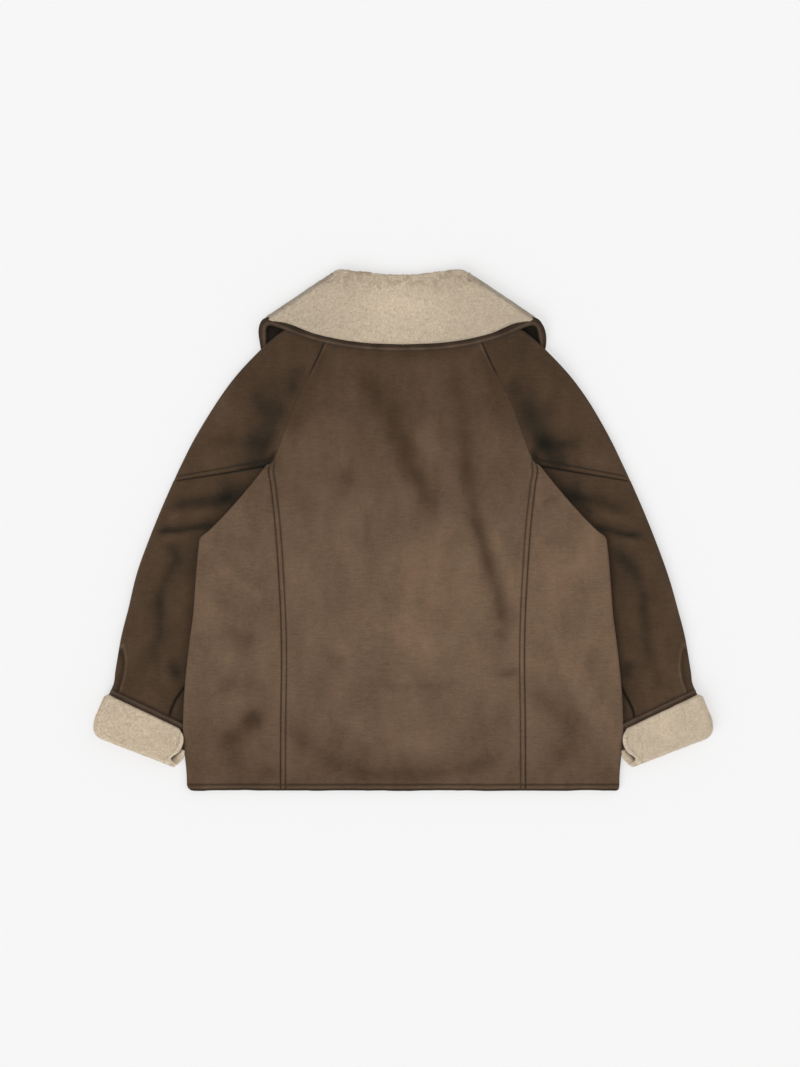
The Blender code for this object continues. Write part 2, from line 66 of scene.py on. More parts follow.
# A layer climbs onto them over a ramp, and is up by a margin before their edge.
COLLAR_CLIMB = dict(ramp=0.045, margin=0.022)
SLEEVE_CLIMB = dict(ramp=0.030, margin=0.010)

# The tables and the sewing are in millimetres, except where a comment says metres.
BINDING = 9.0            # how wide the sewn strip shows

# Half width of the middle of the back: long seam up to 83, then the slanted sleeve seam.
BACK_SEAM = dict(
    y=(-337.5, -300.0, -246.0, -162.0, -106.0, -48.0, 14.0, 60.0, 83.0,
       92.0, 104.0, 132.0, 175.0, 209.0, 243.0, 284.0),
    x=(159.3, 159.3, 159.0, 158.0, 159.3, 162.4, 166.7, 171.8, 174.0,
       168.5, 163.0, 153.0, 136.5, 119.0, 103.0, 84.5),
)
# The side of the body: a point of the long seam, and the point of the outer edge that faces it.
SIDE_EDGE = dict(
    seam_y=(-337.5, -331.0, -314.0, -275.0, -218.0, -162.0, -106.0, -65.0, -21.0,
            8.0, 32.0, 50.0, 64.0, 75.0, 88.0),
    x=(280.3, 280.8, 281.5, 285.0, 284.0, 279.0, 272.0, 269.0, 265.0,
       262.0, 251.0, 234.0, 214.0, 195.4, 177.4),
    y=(-337.5, -331.0, -314.0, -275.0, -218.0, -162.0, -106.0, -65.0, -21.0,
       -8.0, 1.0, 18.0, 40.0, 62.0, 84.8),
)
# The shoulder piece: a point of the sleeve seam, and the point of the outline that faces it.
SHOULDER = dict(
    seam_y=(94.0, 107.0, 121.0, 142.0, 167.0, 192.0, 215.0, 243.0, 265.0, 284.0),
    x=(292.7, 283.0, 273.0, 258.0, 238.0, 217.0, 195.0, 172.0, 150.0, 126.0),
    y=(70.4, 91.0, 112.0, 140.0, 173.0, 201.0, 225.0, 247.0, 264.0, 280.0),
)
CROSS_SEAM = dict(inner=(174.8, 84.2), outer=(295.5, 64.5))
# The lower sleeve, from the cross seam down: outline, inner edge, and heights of its two faces.
SLEEVE = dict(
    outer_x=(295.5, 312.0, 330.0, 346.0, 357.0, 366.0, 371.0, 374.0, 376.0),
    outer_y=(64.1, 27.0, -18.0, -63.0, -102.0, -137.0, -165.0, -184.0, -199.0),
    inner_x=(167.0, 174.0, 189.0, 204.0, 220.0, 238.0, 251.0, 265.5, 281.8),
    inner_y=(84.7, 48.0, 0.0, -60.0, -115.0, -160.0, -192.0, -222.0, -245.5),
    low=(0.0, 0.0, 0.0, 0.0, 0.0, 0.0, 0.0, 1.0, 4.3),
    air=(1.0, 2.0, 3.0, 3.0, 3.0, 3.0, 2.6, 2.0, 1.8),
)
# The cuff from its bound edge (0) to its fold (1): outer side, and the split ends of both layers.
CUFF = dict(
    along=(0.0, 0.12, 0.35, 0.7, 0.93, 1.0),
    outer_x=(386.5, 389.0, 393.5, 400.8, 401.6, 401.0),
    outer_y=(-211.0, -216.8, -228.0, -246.5, -258.5, -262.0),
    upper_x=(291.0, 286.8, 285.4, 291.2, 301.8, 294.5),
    upper_y=(-256.3, -263.2, -273.0, -286.5, -297.4, -303.2),
    under_x=(285.4, 285.1, 284.6, 284.4, 287.6, 291.8),
    under_y=(-259.0, -264.1, -274.0, -289.0, -297.6, -301.8),
)
CUFF_ROWS = (0.2, 0.4, 0.62)   # where the sleeve still reaches inside the cuff
CUFF_MOUTH = ((388.0, -203.0), (284.0, -249.0))   # where the sleeve's creases end
SLEEVE_TUCK = 0.001      # how far its inner side stays inside the cuff's split end, in metres
# The collar's rings, from the middle of the back to the fold over the shoulder.
COLLAR_BACK = dict(
    share=(0.0, 0.30, 0.60, 0.85, 1.0),
    roll_x=(0.0, 30.0, 56.0, 76.0, 84.5),
    roll_y=(328.0, 330.0, 333.7, 333.9, 327.5),
    edge_x=(0.0, 58.0, 112.0, 150.0, 169.5),
    edge_y=(242.0, 245.0, 255.5, 270.0, 270.5),
)
# The same rings under the jacket, from that fold to the middle of the front.
COLLAR_FRONT = dict(
    seam_x=(121.5, 103.0, 84.5, 81.6, 73.3, 58.1, 36.1, 10.6, 4.5),
    seam_y=(280.7, 282.5, 284.3, 280.4, 265.3, 243.3, 215.4, 190.4, 173.3),
    roll_x=(84.5, 81.0, 78.0, 75.0, 68.0, 53.0, 33.0, 13.0, 5.5),
    roll_y=(327.5, 320.0, 313.0, 304.0, 288.0, 262.0, 232.0, 207.0, 192.0),
    edge_x=(169.5, 181.0, 181.5, 172.0, 156.0, 125.0, 86.0, 34.0, 5.5),
    edge_y=(270.5, 255.0, 237.0, 214.0, 193.0, 166.0, 149.0, 138.5, 135.0),
)
# The collar's binding from the middle of the back: its line by the pile, its free line, its height.
# It curls over the shoulder and ends at the middle of the front.
COLLAR_STRIP = dict(
    pile_x=(0.0, 30.0, 58.0, 85.0, 112.0, 130.0, 141.3, 152.8, 162.5, 171.0, 178.5, 183.6, 186.3,
            187.0, 186.4, 185.2, 181.5, 175.0, 163.0, 130.0, 89.0, 36.0, 5.5),
    pile_y=(242.0, 242.8, 245.0, 249.4, 255.8, 261.3, 266.4, 271.6, 275.6, 277.3, 275.0, 268.5, 260.8,
            253.5, 244.5, 236.5, 222.0, 204.0, 187.0, 158.0, 140.5, 129.5, 126.0),
    free_x=(0.0, 30.6, 59.6, 87.6, 115.0, 133.6, 145.3, 156.2, 164.2, 170.6, 174.4, 175.8, 176.2,
            176.5, 176.9, 177.0, 173.6, 167.4, 156.0, 125.0, 86.0, 34.0, 5.5),
    free_y=(233.0, 233.6, 236.0, 240.4, 247.0, 252.9, 257.6, 262.2, 265.0, 266.2, 264.0, 260.0, 255.0,
            250.0, 243.0, 236.0, 226.0, 209.5, 193.0, 166.0, 149.0, 138.5, 135.0),
    high=(17.6, 17.6, 17.6, 17.6, 17.6, 17.6, 17.6, 17.6, 17.6, 17.2, 16.2, 14.4, 12.2,
          10.0, 8.0, 6.4, 4.8, 4.3, 4.3, 4.3, 4.3, 4.3, 4.3),
)
COLLAR_LEAN = dict(by=3.3, start=240.0, end=280.0)   # the collar lies a little to the left
# Which way the collar bulges out over the shoulder, at its seam and on its fall.
COLLAR_SIDE = dict(seam=(0.995, -0.10), fall=(0.60, 0.80))
SHOULDER_FOLD_X = 121.5  # where the neck seam goes over the shoulder
NECK_DIP = 5.0           # how far the neck seam hangs down behind the neck
COLLAR_SAG = 0.005       # how far the roll sinks behind the neck, in metres
SAG_FROM = 0.291         # Y, in metres, from which up it sinks
# The fronts' edge at the neck.
NECKLINE = dict(
    y=(190.0, 215.0, 243.0, 265.0, 280.0),
    x=(11.0, 36.5, 58.5, 73.7, 82.0),
)
# Edge of the collar's front, and inner edge of the sleeve, which upper layers climb onto.
UNDER_COLLAR = ((186.0, 300.0), (185.5, 262.0), (184.5, 229.0), (165.0, 189.0), (125.0, 155.0),
                (66.0, 134.0), (0.0, 126.0), (-66.0, 134.0))
UNDER_SLEEVE = ((187.0, 72.0), (188.0, 48.0), (192.0, 0.0), (204.0, -60.0), (220.0, -115.0),
                (238.0, -160.0), (252.0, -192.0), (268.0, -222.0), (285.0, -243.0))
# Soft folds of the back: ends, half width and height.
BACK_FOLDS = dict(
    x0=(-36.0, 92.0, 96.0, -214.0, -60.0, -150.0, 190.0, 20.0),
    y0=(196.0, 6.0, -152.0, -110.0, -262.0, 20.0, -210.0, -40.0),
    x1=(24.0, 130.0, 140.0, -230.0, -120.0, -120.0, 214.0, -30.0),
    y1=(60.0, -120.0, -186.0, -250.0, -286.0, 120.0, -300.0, -190.0),
    wide=(34.0, 26.0, 30.0, 28.0, 26.0, 30.0, 28.0, 46.0),
    high=(2.0, 1.8, 1.4, 1.6, 1.4, 1.5, 1.5, 1.8),
)
CALM = (0.150, 0.215)    # Y, in metres, between which these folds end, under the collar
HEM = -337.5
NECK = 284.0
NECK_FROM = 243.0        # Y from which up the back's rows bend to the neck seam
SIDE_TOP = 83.0          # Y where the long seam meets the sleeve seam
CORNER_TOP = 88.0        # the same for the side's own corner, which runs up beside the sleeve seam
STITCH_TOP = 93.0        # Y where the stitches beside the long seam run into the sleeve seam
STITCH_END = 4.0         # over which they end
SEAM_CHANGE = 8.0        # over which, on both sides of SIDE_TOP, the plain seam takes over

# Sewing.
# The dent of each of these darkens the cloth as painted shade along seams, stitch rows and the hem's edge.
SEWN = dict(drop=1.5, roll=2.5, puff=0.45, dip=0.55, dip_width=1.05, dent=1.1, dent_width=1.3)
HEM_TURN = dict(drop=2.6, roll=3.4, dent=1.25, dent_reach=2.0, dent_fade=1.6)   # the hem's folded edge
CROSS_MARK = dict(seam=1.45, seam_width=1.6, row=1.2, row_width=1.0)   # dents of the cross seam
SLANT_SEAM = dict(faint=0.25, low=196.0, high=214.0)   # the sleeve seam shows only near the collar
# The pale ridge beside the sleeve seam is a painted highlight.
SEAM_RIDGE_HIGHLIGHT = dict(at=3.2, width=1.3, tone=0.42)        # and has a pale ridge beside it
HEM_CORNER = dict(L=8.0, R=4.0)          # how far the hem's outer corner is rounded
SHOULDER_JOIN = dict(from_y=80.0, rise=14.0, reach=15.0)   # where the shoulder meets the back's height
LEFT_FULLER = dict(by=2.7, x=(235.0, 290.0), low=(-110.0, -40.0), high=(140.0, 215.0))
# Creases and waves end over these distances before an outline, an edge, the body and the cuff, in metres.
SHOULDER_CALM = 0.012
SLEEVE_CALM = dict(edge=0.003, body=0.012, cuff=0.006)
# The lower sleeve stands up in its middle, in metres, and its waves are this many times as high.
SLEEVE_FULL = dict(high=0.0012, reach=0.05, waves=1.5)
STITCH_IN = 6.5          # from a seam to its row of stitches
CROSS_STITCH = 7.0       # the same on the cross seam
HEM_STITCH = 8.0
STITCH = dict(pitch=3.2, length=2.4, radius=0.26)
SEAM_STEPS = (0.0, 0.5, 1.0, 1.6, 2.4, 3.6, 5.0, 5.9, 6.5, 7.1, 8.0, 9.5, 12.0, 15.0)
CROSS_STEPS = (0.0, 0.5, 1.0, 1.6, 2.4, 3.8, 5.4, 6.4, 7.0, 7.6, 8.6, 10.5, 13.0)
PLAIN_STEPS = (0.0, 0.5, 1.0, 1.6, 2.4, 3.6, 5.2)
HEM_STEPS = (0.0, 0.6, 1.3, 2.2, 3.6, 5.4, 7.2, 8.0, 8.8, 10.4, 13.0)
STEP = 3.2               # between points of plain cloth
SLEEVE_STEP = 2.24       # the same along the creased lower sleeve
ACROSS_SLEEVE = 0.85     # points of both sleeve pieces lie this much closer across than along
HIDDEN_STEP = 5.0        # on faces that lie on something
FRONT_COLUMNS = 58       # across a front
UNDER_COLUMNS = 26       # across the under layer of a sleeve
ROUND_STEPS = 14         # round the outer edge of a sleeve or a cuff
INSIDE_STEPS = 10        # round the inner edge of a sleeve
COLLAR_STEPS = 16        # round the collar, over the shoulder
SIDE_STEPS = 9           # round the body's side
TURN_STEPS = 10          # round the fold of a cuff or the roll of the collar
SHARP_ANGLE = 62.0       # edges that turn more than this are shaded sharp, in degrees
RIM_POINTS = 3           # across a bulging rim, from one face to the other
PILE_RIM = 0.0006        # how far the rims of the pile pieces bulge, in metres

Crease = namedtuple("Crease", "path left right high tone")
# A crease runs out at each end in so many mm and times its width, or in this share of its length.
CREASE_FADE = dict(least=6.0, widths=1.3, share=0.4)
CREASE_WANDER = 0.18     # how far lumps shift a crease, in half widths
CREASE_THIN = 0.25       # share by which they make it higher and lower
# Creases: the path, its half width to the left and right of its way, height, and change of tone, which is
# painted shade along troughs and painted highlight along ridges.
BACK_CREASES = (
    Crease(((-64, 234), (-36, 178), (-17, 144), (3, 98), (27, 50), (46, 12), (54, -10)),
           16, 15, -0.9, -0.34),
    Crease(((-8, 120), (8, 84), (20, 50)), 22, 24, -0.3, -0.12),
    Crease(((60, 222), (74, 156), (82, 100), (93, 20), (105, -22), (121, -75), (136, -140)),
           13, 13, -0.6, -0.20),
    Crease(((-116, 92), (-92, 74), (-64, 62), (-38, 50)), 15, 16, -0.4, -0.17),
    Crease(((-106, 232), (-126, 190), (-146, 144), (-158, 112)), 22, 22, -0.3, -0.22),
    Crease(((158, 112), (146, 144), (126, 190), (106, 232)), 22, 22, -0.3, -0.20),
    Crease(((-120, 190), (-110, 222), (-92, 246)), 12, 14, -0.5, -0.28),
    Crease(((92, 246), (110, 222), (120, 190)), 12, 14, -0.5, -0.28),
    Crease(((-108, 246), (-62, 232), (0, 227), (62, 232), (108, 246)), 8, 8, -0.3, -0.20),
    Crease(((24, 150), (34, 120), (44, 84)), 12, 15, 0.7, 0.20),
    Crease(((36, 50), (56, 20), (58, -10)), 20, 24, 0.4, 0.12),
    Crease(((-72, 206), (-67, 188), (-62, 164)), 7, 9, 0.3, 0.18),
    Crease(((-96, 170), (-82, 130), (-76, 92)), 20, 18, 0.5, 0.12),
    Crease(((-128, 98), (-134, 60), (-126, 26), (-124, -12)), 14, 16, -0.3, -0.13),
    Crease(((-46, 40), (-44, 4), (-50, -34)), 7, 8, -0.3, -0.10),
    Crease(((70, 112), (84, 70), (94, 34)), 14, 14, -0.4, -0.18),
    Crease(((88, 52), (96, 10), (105, -22), (118, -66), (128, -102), (139, -138)), 9, 9, -1.2, -0.26),
    Crease(((112, 22), (126, -22), (139, -64), (148, -96)), 8, 7, 0.5, 0.10),
    Crease(((120, -126), (130, -136), (142, -142)), 5, 7, -0.6, -0.24),
    Crease(((116, -186), (134, -186), (156, -178)), 5, 5, -0.7, -0.30),
    Crease(((-106, -158), (-90, -166), (-66, -176)), 10, 9, -0.5, -0.18),
    Crease(((-48, -186), (-12, -201), (46, -201), (80, -192)), 5, 9, -0.4, -0.14),
    Crease(((-110, -126), (-40, -134), (40, -140), (90, -128)), 26, 24, 0.5, 0.12),
    Crease(((-20, -84), (-14, -120), (-24, -150)), 16, 14, 0.3, 0.08),
    Crease(((-158, -248), (-130, -274), (-98, -298), (-62, -312), (-14, -318), (50, -314), (102, -304),
            (140, -286)), 15, 11, -0.9, -0.27),
    Crease(((-104, -232), (-40, -262), (30, -272), (92, -254)), 18, 16, 0.8, 0.12),
    Crease(((-22, -276), (6, -282), (40, -278)), 9, 9, 0.3, 0.12),
    Crease(((-250, -286), (-224, -268), (-197, -247), (-162, -220)), 12, 13, -1.1, -0.32),
    Crease(((-216, -256), (-197, -246), (-178, -236)), 11, 11, -0.5, -0.22),
    Crease(((-244, -128), (-212, -138), (-172, -142)), 9, 10, -0.6, -0.18),
    Crease(((-256, -198), (-214, -200), (-170, -196)), 10, 12, -0.4, -0.15),
    Crease(((-192, -306), (-174, -314), (-156, -322)), 9, 9, -0.5, -0.22),
    Crease(((-246, -40), (-214, -66), (-172, -98)), 7, 8, 0.7, 0.20),
    Crease(((-262, -70), (-240, -84), (-206, -112)), 9, 10, -0.3, -0.10),
    Crease(((-236, -8), (-214, -16), (-186, -14)), 8, 9, -0.3, -0.12),
    Crease(((-252, -172), (-224, -166), (-184, -170)), 12, 12, 0.4, 0.10),
    Crease(((-250, -228), (-232, -222), (-206, -214)), 9, 10, 0.4, 0.10),
    Crease(((144, -184), (170, -206), (196, -230), (220, -254), (244, -284)), 17, 15, -1.1, -0.33),
    Crease(((232, -150), (252, -170), (262, -200)), 10, 12, -0.4, -0.12),
    Crease(((184, -124), (214, -128), (244, -112)), 16, 18, 0.5, -0.02),
    Crease(((196, -70), (214, -112), (232, -156)), 26, 26, 0.0, -0.10),
    Crease(((200, -158), (216, -176), (240, -186)), 12, 10, 0.5, 0.04),
    Crease(((196, -58), (222, -48), (246, -22)), 8, 8, 0.5, 0.14),
    Crease(((176, 30), (190, 40), (208, 40)), 4, 5, -0.5, -0.20),
    Crease(((170, -16), (196, -10), (226, -18)), 10, 11, -0.3, -0.12),
    Crease(((196, -300), (214, -286), (220, -268)), 9, 9, -0.3, -0.12),
    Crease(((-268, -258), (-222, -286), (-172, -294)), 22, 22, -0.3, -0.10),
    Crease(((168, -262), (210, -286), (262, -280)), 22, 24, -0.4, -0.14),
)
LEFT_CREASES = (
    Crease(((-306, 24), (-290, 33), (-262, 38), (-232, 42), (-200, 42)), 9, 10, -1.9, -0.46),
    Crease(((-244, 62), (-214, 52), (-192, 44)), 12, 16, -0.8, -0.30),
    Crease(((-312, 16), (-284, 22), (-250, 25), (-230, 20)), 5, 6, 1.2, 0.22),
    Crease(((-322, -4), (-304, 0), (-284, 2), (-260, 5), (-238, 9)), 6, 4, -2.0, -0.56),
    Crease(((-320, -12), (-296, -9), (-268, -5)), 4, 5, 0.9, 0.18),
    Crease(((-304, -6), (-290, -36), (-306, -60), (-315, -84), (-317, -114), (-319, -142), (-327, -184)),
           9, 9, -1.3, -0.38),
    Crease(((-334, -140), (-336, -170), (-339, -200)), 8, 8, -0.6, -0.22),
    Crease(((-346, -30), (-354, -80), (-360, -120)), 7, 12, 0.7, 0.10),
    Crease(((-276, -46), (-284, -90), (-294, -134)), 12, 10, 0.8, 0.12),
    Crease(((-306, -150), (-308, -174), (-312, -204)), 9, 9, 0.7, 0.14),
    Crease(((-308, -160), (-298, -176), (-284, -196)), 10, 9, -1.3, -0.46),
    Crease(((-268, -180), (-279, -195), (-288, -208), (-296, -220), (-301, -231), (-305, -246)),
           2.4, 1.1, -2.0, -0.90),
    Crease(((-284, -210), (-292, -224), (-298, -240)), 3.4, 2.2, 0.8, 0.14),
    Crease(((-373, -126), (-367.5, -142), (-363, -157), (-361.6, -170), (-363, -186), (-368, -204),
            (-373, -220)), 1.2, 6, -1.1, -0.40),
    Crease(((-371, -126), (-365.4, -142), (-360.8, -157), (-359.2, -170), (-360.6, -186), (-365.8, -204),
            (-371, -220)), 1.4, 1.2, 0.6, 0.50),
)
RIGHT_CREASES = (
    Crease(((192, 44), (227, 41), (246, 41), (267, 35), (296, 20)), 10, 9, -1.9, -0.38),
    Crease(((194, 46), (214, 52), (242, 58)), 14, 14, -0.8, -0.26),
    Crease(((224, 36), (236, 28), (252, 22)), 5, 6, -0.8, -0.26),
    Crease(((250, 25), (280, 17), (306, 12)), 6, 6, 1.2, 0.22),
    Crease(((238, 9), (252, 4), (268, 0), (291, -5), (318, -7)), 6, 4, -2.0, -0.54),
    Crease(((262, -10), (288, -15), (316, -16)), 4, 5, 0.9, 0.16),
    Crease(((262, -20), (291, -40), (303, -56), (310, -84), (313, -112), (317, -144), (325, -188)),
           9, 9, -1.3, -0.38),
    Crease(((326, -170), (330, -190), (332, -212)), 6, 6, -0.5, -0.22),
    Crease(((340, -30), (350, -76), (356, -120)), 12, 7, 0.7, 0.10),
    Crease(((280, -60), (288, -100), (296, -140)), 10, 12, 0.8, 0.10),
    Crease(((308, -170), (312, -190), (312, -214)), 8, 8, 0.7, 0.14),
    Crease(((282, -196), (290, -182), (302, -164)), 10, 9, -1.3, -0.44),
    Crease(((272, -178), (281, -196), (287, -209), (294, -222), (299, -234), (302, -252)),
           1.1, 2.4, -2.0, -0.90),
    Crease(((286, -212), (292, -226), (298, -242)), 2.2, 3.4, 0.8, 0.14),
    Crease(((372, -126), (366.8, -142), (362.4, -158), (361, -174), (363.2, -192), (368, -208),
            (373, -224)), 6, 1.2, -1.1, -0.40),
    Crease(((370, -126), (364.7, -142), (360.2, -158), (358.6, -174), (360.8, -192), (365.8, -208),
            (371, -224)), 1.2, 1.4, 0.6, 0.50),
)
LEFT_SHOULDER_CREASES = (
    Crease(((-264, 118), (-244, 117), (-219, 117), (-194, 113)), 8, 9, -1.2, -0.24),
    Crease(((-144, 200), (-160, 168), (-173, 140), (-181, 116), (-187, 98), (-198, 70), (-210, 40)),
           15, 24, -1.0, -0.60),
    Crease(((-206, 120), (-188, 112), (-168, 106)), 11, 11, -0.5, -0.14),
    Crease(((-178, 92), (-200, 86), (-226, 84)), 9, 9, -0.3, -0.14),
    Crease(((-195, 190), (-190, 166), (-180, 142)), 11, 10, -0.6, -0.26),
    Crease(((-124, 226), (-142, 194), (-154, 164)), 12, 12, -0.5, -0.32),
    Crease(((-224, 176), (-240, 152), (-252, 134)), 14, 14, 0.8, 0.14),
    Crease(((-282, 96), (-262, 92), (-232, 90)), 8, 8, 0.6, 0.12),
    Crease(((-162, 224), (-180, 206), (-196, 196)), 8, 8, 0.5, 0.10),
    Crease(((-188, 78), (-178, 84), (-170, 96), (-164, 110)), 5, 5, -0.8, -0.50),
)
RIGHT_SHOULDER_CREASES = (
    Crease(((186, 112), (200, 112), (218, 114), (244, 120)), 8, 9, -1.2, -0.24),
    Crease(((134, 200), (152, 164), (169, 134), (182, 112), (193, 92), (206, 66), (218, 40)),
           24, 16, -1.0, -0.58),
    Crease(((166, 106), (182, 112), (202, 118)), 11, 11, -0.5, -0.14),
    Crease(((178, 92), (200, 86), (226, 84)), 9, 9, -0.3, -0.12),
    Crease(((138, 206), (146, 188), (152, 168)), 12, 12, -0.6, -0.28),
    Crease(((186, 178), (194, 160), (206, 146)), 10, 12, -0.4, -0.16),
    Crease(((222, 176), (236, 152), (250, 134)), 14, 14, 0.8, 0.14),
    Crease(((226, 94), (250, 92), (274, 92)), 8, 8, 0.6, 0.12),
    Crease(((160, 224), (178, 206), (194, 196)), 8, 8, 0.5, 0.10),
    Crease(((188, 78), (178, 84), (170, 96), (164, 110)), 5, 5, -0.8, -0.50),
)

SUEDE = (0.146, 0.094, 0.060)
SUEDE_STRIP = (0.060, 0.039, 0.025)
# How the suede's colour shifts: in its cooler and warmer specks, in painted shade, and in the deepest
# painted shade of its folds.
SUEDE_HUES = dict(cool=(0.975, 1.01, 1.0), warm=(1.04, 0.98, 0.95),
                  shaded=(1.00, 0.93, 0.81), deepest=(0.78, 0.93, 0.86))
PILE = (0.742, 0.620, 0.466)
# The pile's colour in painted shade, between its curls and in its hollows.
PILE_IN_SHADE = (0.440, 0.340, 0.225)
THREAD = (0.050, 0.032, 0.020)
FLOOR_COLOR = (0.400, 0.400, 0.400)
FLOOR_GLOW = 0.51        # the floor is a light table

# Painted shade along the back's Y: darkest towards the collar, darker at the hem, lightest in the middle.
BACK_PAINTED_SHADE = dict(y=(-337.0, -290.0, -230.0, -100.0, 0.0, 60.0, 120.0, 180.0, 250.0),
                 tone=(0.72, 0.86, 0.98, 1.04, 0.98, 0.84, 0.71, 0.585, 0.61))
SLEEVE_TONE = 0.47
SHOULDER_TONE = 0.51
# The lower sleeve has painted shadow beside the body, and pales from this Y towards the cuff, in metres.
NEAR_BODY_SHADOW = dict(reach=0.050, tone=-0.25)
NEAR_CUFF_TONE = dict(start=-0.10, ramp=0.08, tone=0.12)
# Painted shadow on the collar's inner suede face, inside its curl.
HOLLOW_SHADOW = 0.16       # inside the curl of the collar


def smooth_step(share):
    """0 up to share 0, 1 from share 1, and a soft S between."""
    share = np.clip(share, 0.0, 1.0)
    return share * share * (3.0 - 2.0 * share)


def through(at, keys, values):
    """A smooth curve through a table: cubic pieces, each end's slope the mean of its two chords."""
    keys = np.asarray(keys, float)
    values = np.asarray(values, float)
    at = np.clip(np.asarray(at, float), keys[0], keys[-1])
    chords = np.diff(values) / np.diff(keys)
    slopes = np.concatenate(([chords[0]], (chords[1:] + chords[:-1]) / 2.0, [chords[-1]]))
    left = np.clip(np.searchsorted(keys, at, side="right") - 1, 0, len(keys) - 2)
    width = keys[left + 1] - keys[left]
    share = (at - keys[left]) / width
    start = (1.0 + 2.0 * share) * (1.0 - share) ** 2 * values[left]
    end = share ** 2 * (3.0 - 2.0 * share) * values[left + 1]
    lean = share * (1.0 - share) ** 2 * slopes[left] - share ** 2 * (1.0 - share) * slopes[left + 1]
    return start + end + lean * width


def unit(vectors):
    """The same directions, one metre long."""
    return vectors / np.linalg.norm(vectors, axis=-1, keepdims=True)


def from_path(points, path):
    """Signed distance from a path of straight runs, above 0 on its left, and the share of its length."""
    path = np.asarray(path, float) * MM
    start = path[:-1]
    run = path[1:] - start
    length = np.linalg.norm(run, axis=-1)
    offset = points[..., None, :] - start
    share = np.clip((offset * run).sum(-1) / (run * run).sum(-1), 0.0, 1.0)
    gap = np.linalg.norm(offset - share[..., None] * run, axis=-1)
    nearest = gap.argmin(-1)[..., None]
    turn = run[:, 0] * offset[..., 1] - run[:, 1] * offset[..., 0]
    side = np.where(np.take_along_axis(turn, nearest, -1)[..., 0] < 0.0, -1.0, 1.0)
    before = np.concatenate(([0.0], np.cumsum(length)[:-1]))
    along = np.take_along_axis(before + share * length, nearest, -1)[..., 0] / length.sum()
    return side * np.take_along_axis(gap, nearest, -1)[..., 0], along


def climb(points, path, inside, ramp, margin):
    """Share of its climb that a layer has done onto what lies beyond a path."""
    plan = np.stack((np.abs(points[..., 0]), points[..., 1]), -1)
    ahead = inside * from_path(plan, path)[0]
    return smooth_step(1.0 + (ahead + margin) / ramp)


def over_collar(points):
    """How high the front of the collar carries what lies over it."""
    return COLLAR_LIFT * climb(points, UNDER_COLLAR, -1.0, **COLLAR_CLIMB)


def body_floor(points):
    """Underside of the fronts: on the surface, on the collar's front, or on the sleeves."""
    near_cuff = smooth_step((NEAR_CUFF[0] - points[..., 1]) / (NEAR_CUFF[0] - NEAR_CUFF[1]))
    over_sleeve = (SLEEVE_LIFT + CUFF_LIFT * near_cuff) * climb(points, UNDER_SLEEVE, 1.0, **SLEEVE_CLIMB)
    return over_collar(points) + over_sleeve


def soft_folds(points):
    """Height of the back's soft folds: a round ridge along each line of the table."""
    rise = np.zeros(points.shape[:-1])
    for x0, y0, x1, y1, wide, high in zip(*BACK_FOLDS.values()):
        gap = from_path(points, ((x0, y0), (x1, y1)))[0]
        rise = np.maximum(rise, high * MM * np.exp(-(gap / (wide * MM)) ** 2))
    return rise * (1.0 - smooth_step((points[..., 1] - CALM[0]) / (CALM[1] - CALM[0])))


def creased(points, creases):
    """Height and tone of creases, the tone painted shade in troughs and painted highlight on ridges:
    exp(-(distance / half width)^2) across, fading out at both ends.

    Lumps shift each line sideways and weaken it here and there, so that no crease is even.
    """
    rise = np.zeros(points.shape[:-1])
    tone = np.zeros(points.shape[:-1])
    flat = raised(points, 0.0)
    drift = lumps(flat, 0.017, 41)
    thin = 1.0 + CREASE_THIN * lumps(flat, 0.023, 42)
    for crease in creases:
        gap, along = from_path(points, crease.path)
        wide = np.where(gap > 0.0, crease.left, crease.right) * MM
        length = np.linalg.norm(np.diff(crease.path, axis=0), axis=-1).sum()
        along = np.minimum(along, 1.0 - along) * length
        ending = CREASE_FADE["least"] + CREASE_FADE["widths"] * (crease.left + crease.right)
        fade = smooth_step(along / min(CREASE_FADE["share"] * length, ending)) * thin
        form = fade * np.exp(-((gap + CREASE_WANDER * wide * drift) / wide) ** 2)
        rise += crease.high * MM * form
        # painted shade along the troughs and painted highlight along the ridges
        tone += crease.tone * form
    return rise, tone


def scatter(cell, seed):
    """A number from -1 to 1 for each whole-number cell, always the same one."""
    x, y, z = (cell[..., axis].astype(np.int64) for axis in range(3))
    mixed = (x * 73856093) ^ (y * 19349663) ^ (z * 83492791) ^ (seed * 2654435761)
    mixed = (mixed ^ (mixed >> 13)) * 1274126177
    mixed = mixed ^ (mixed >> 16)
    return (mixed & 0xFFFFFF) / float(0x7FFFFF) - 1.0


def lumps(points, size, seed=0):
    """Smooth lumps about `size` metres apart, from -1 to 1: corner values blended through each cell."""
    place = points[..., :3] / size
    cell = np.floor(place)
    share = place - cell
    share = share * share * (3.0 - 2.0 * share)
    total = np.zeros(points.shape[:-1])
    for corner in np.ndindex(2, 2, 2):
        weight = np.prod(np.where(np.array(corner) == 1, share, 1.0 - share), -1)
        total += weight * scatter(cell + np.array(corner), seed)
    return total


def raised(plan, heights):
    """Points over a plan at the given heights."""
    return np.concatenate((plan, np.broadcast_to(heights, plan.shape[:-1])[..., None]), -1)


def painted(points, tone=1.0, dent=0.0):
    """Points with their two finish numbers: tone, how light the nap lies together with painted shade and
    painted highlights, and dent, how deep it is, which darkens the colour as painted shade.
    """
    shape = points.shape[:-1]
    numbers = [np.broadcast_to(number, shape)[..., None] for number in (tone, dent)]
    return np.concatenate([points] + numbers, -1)


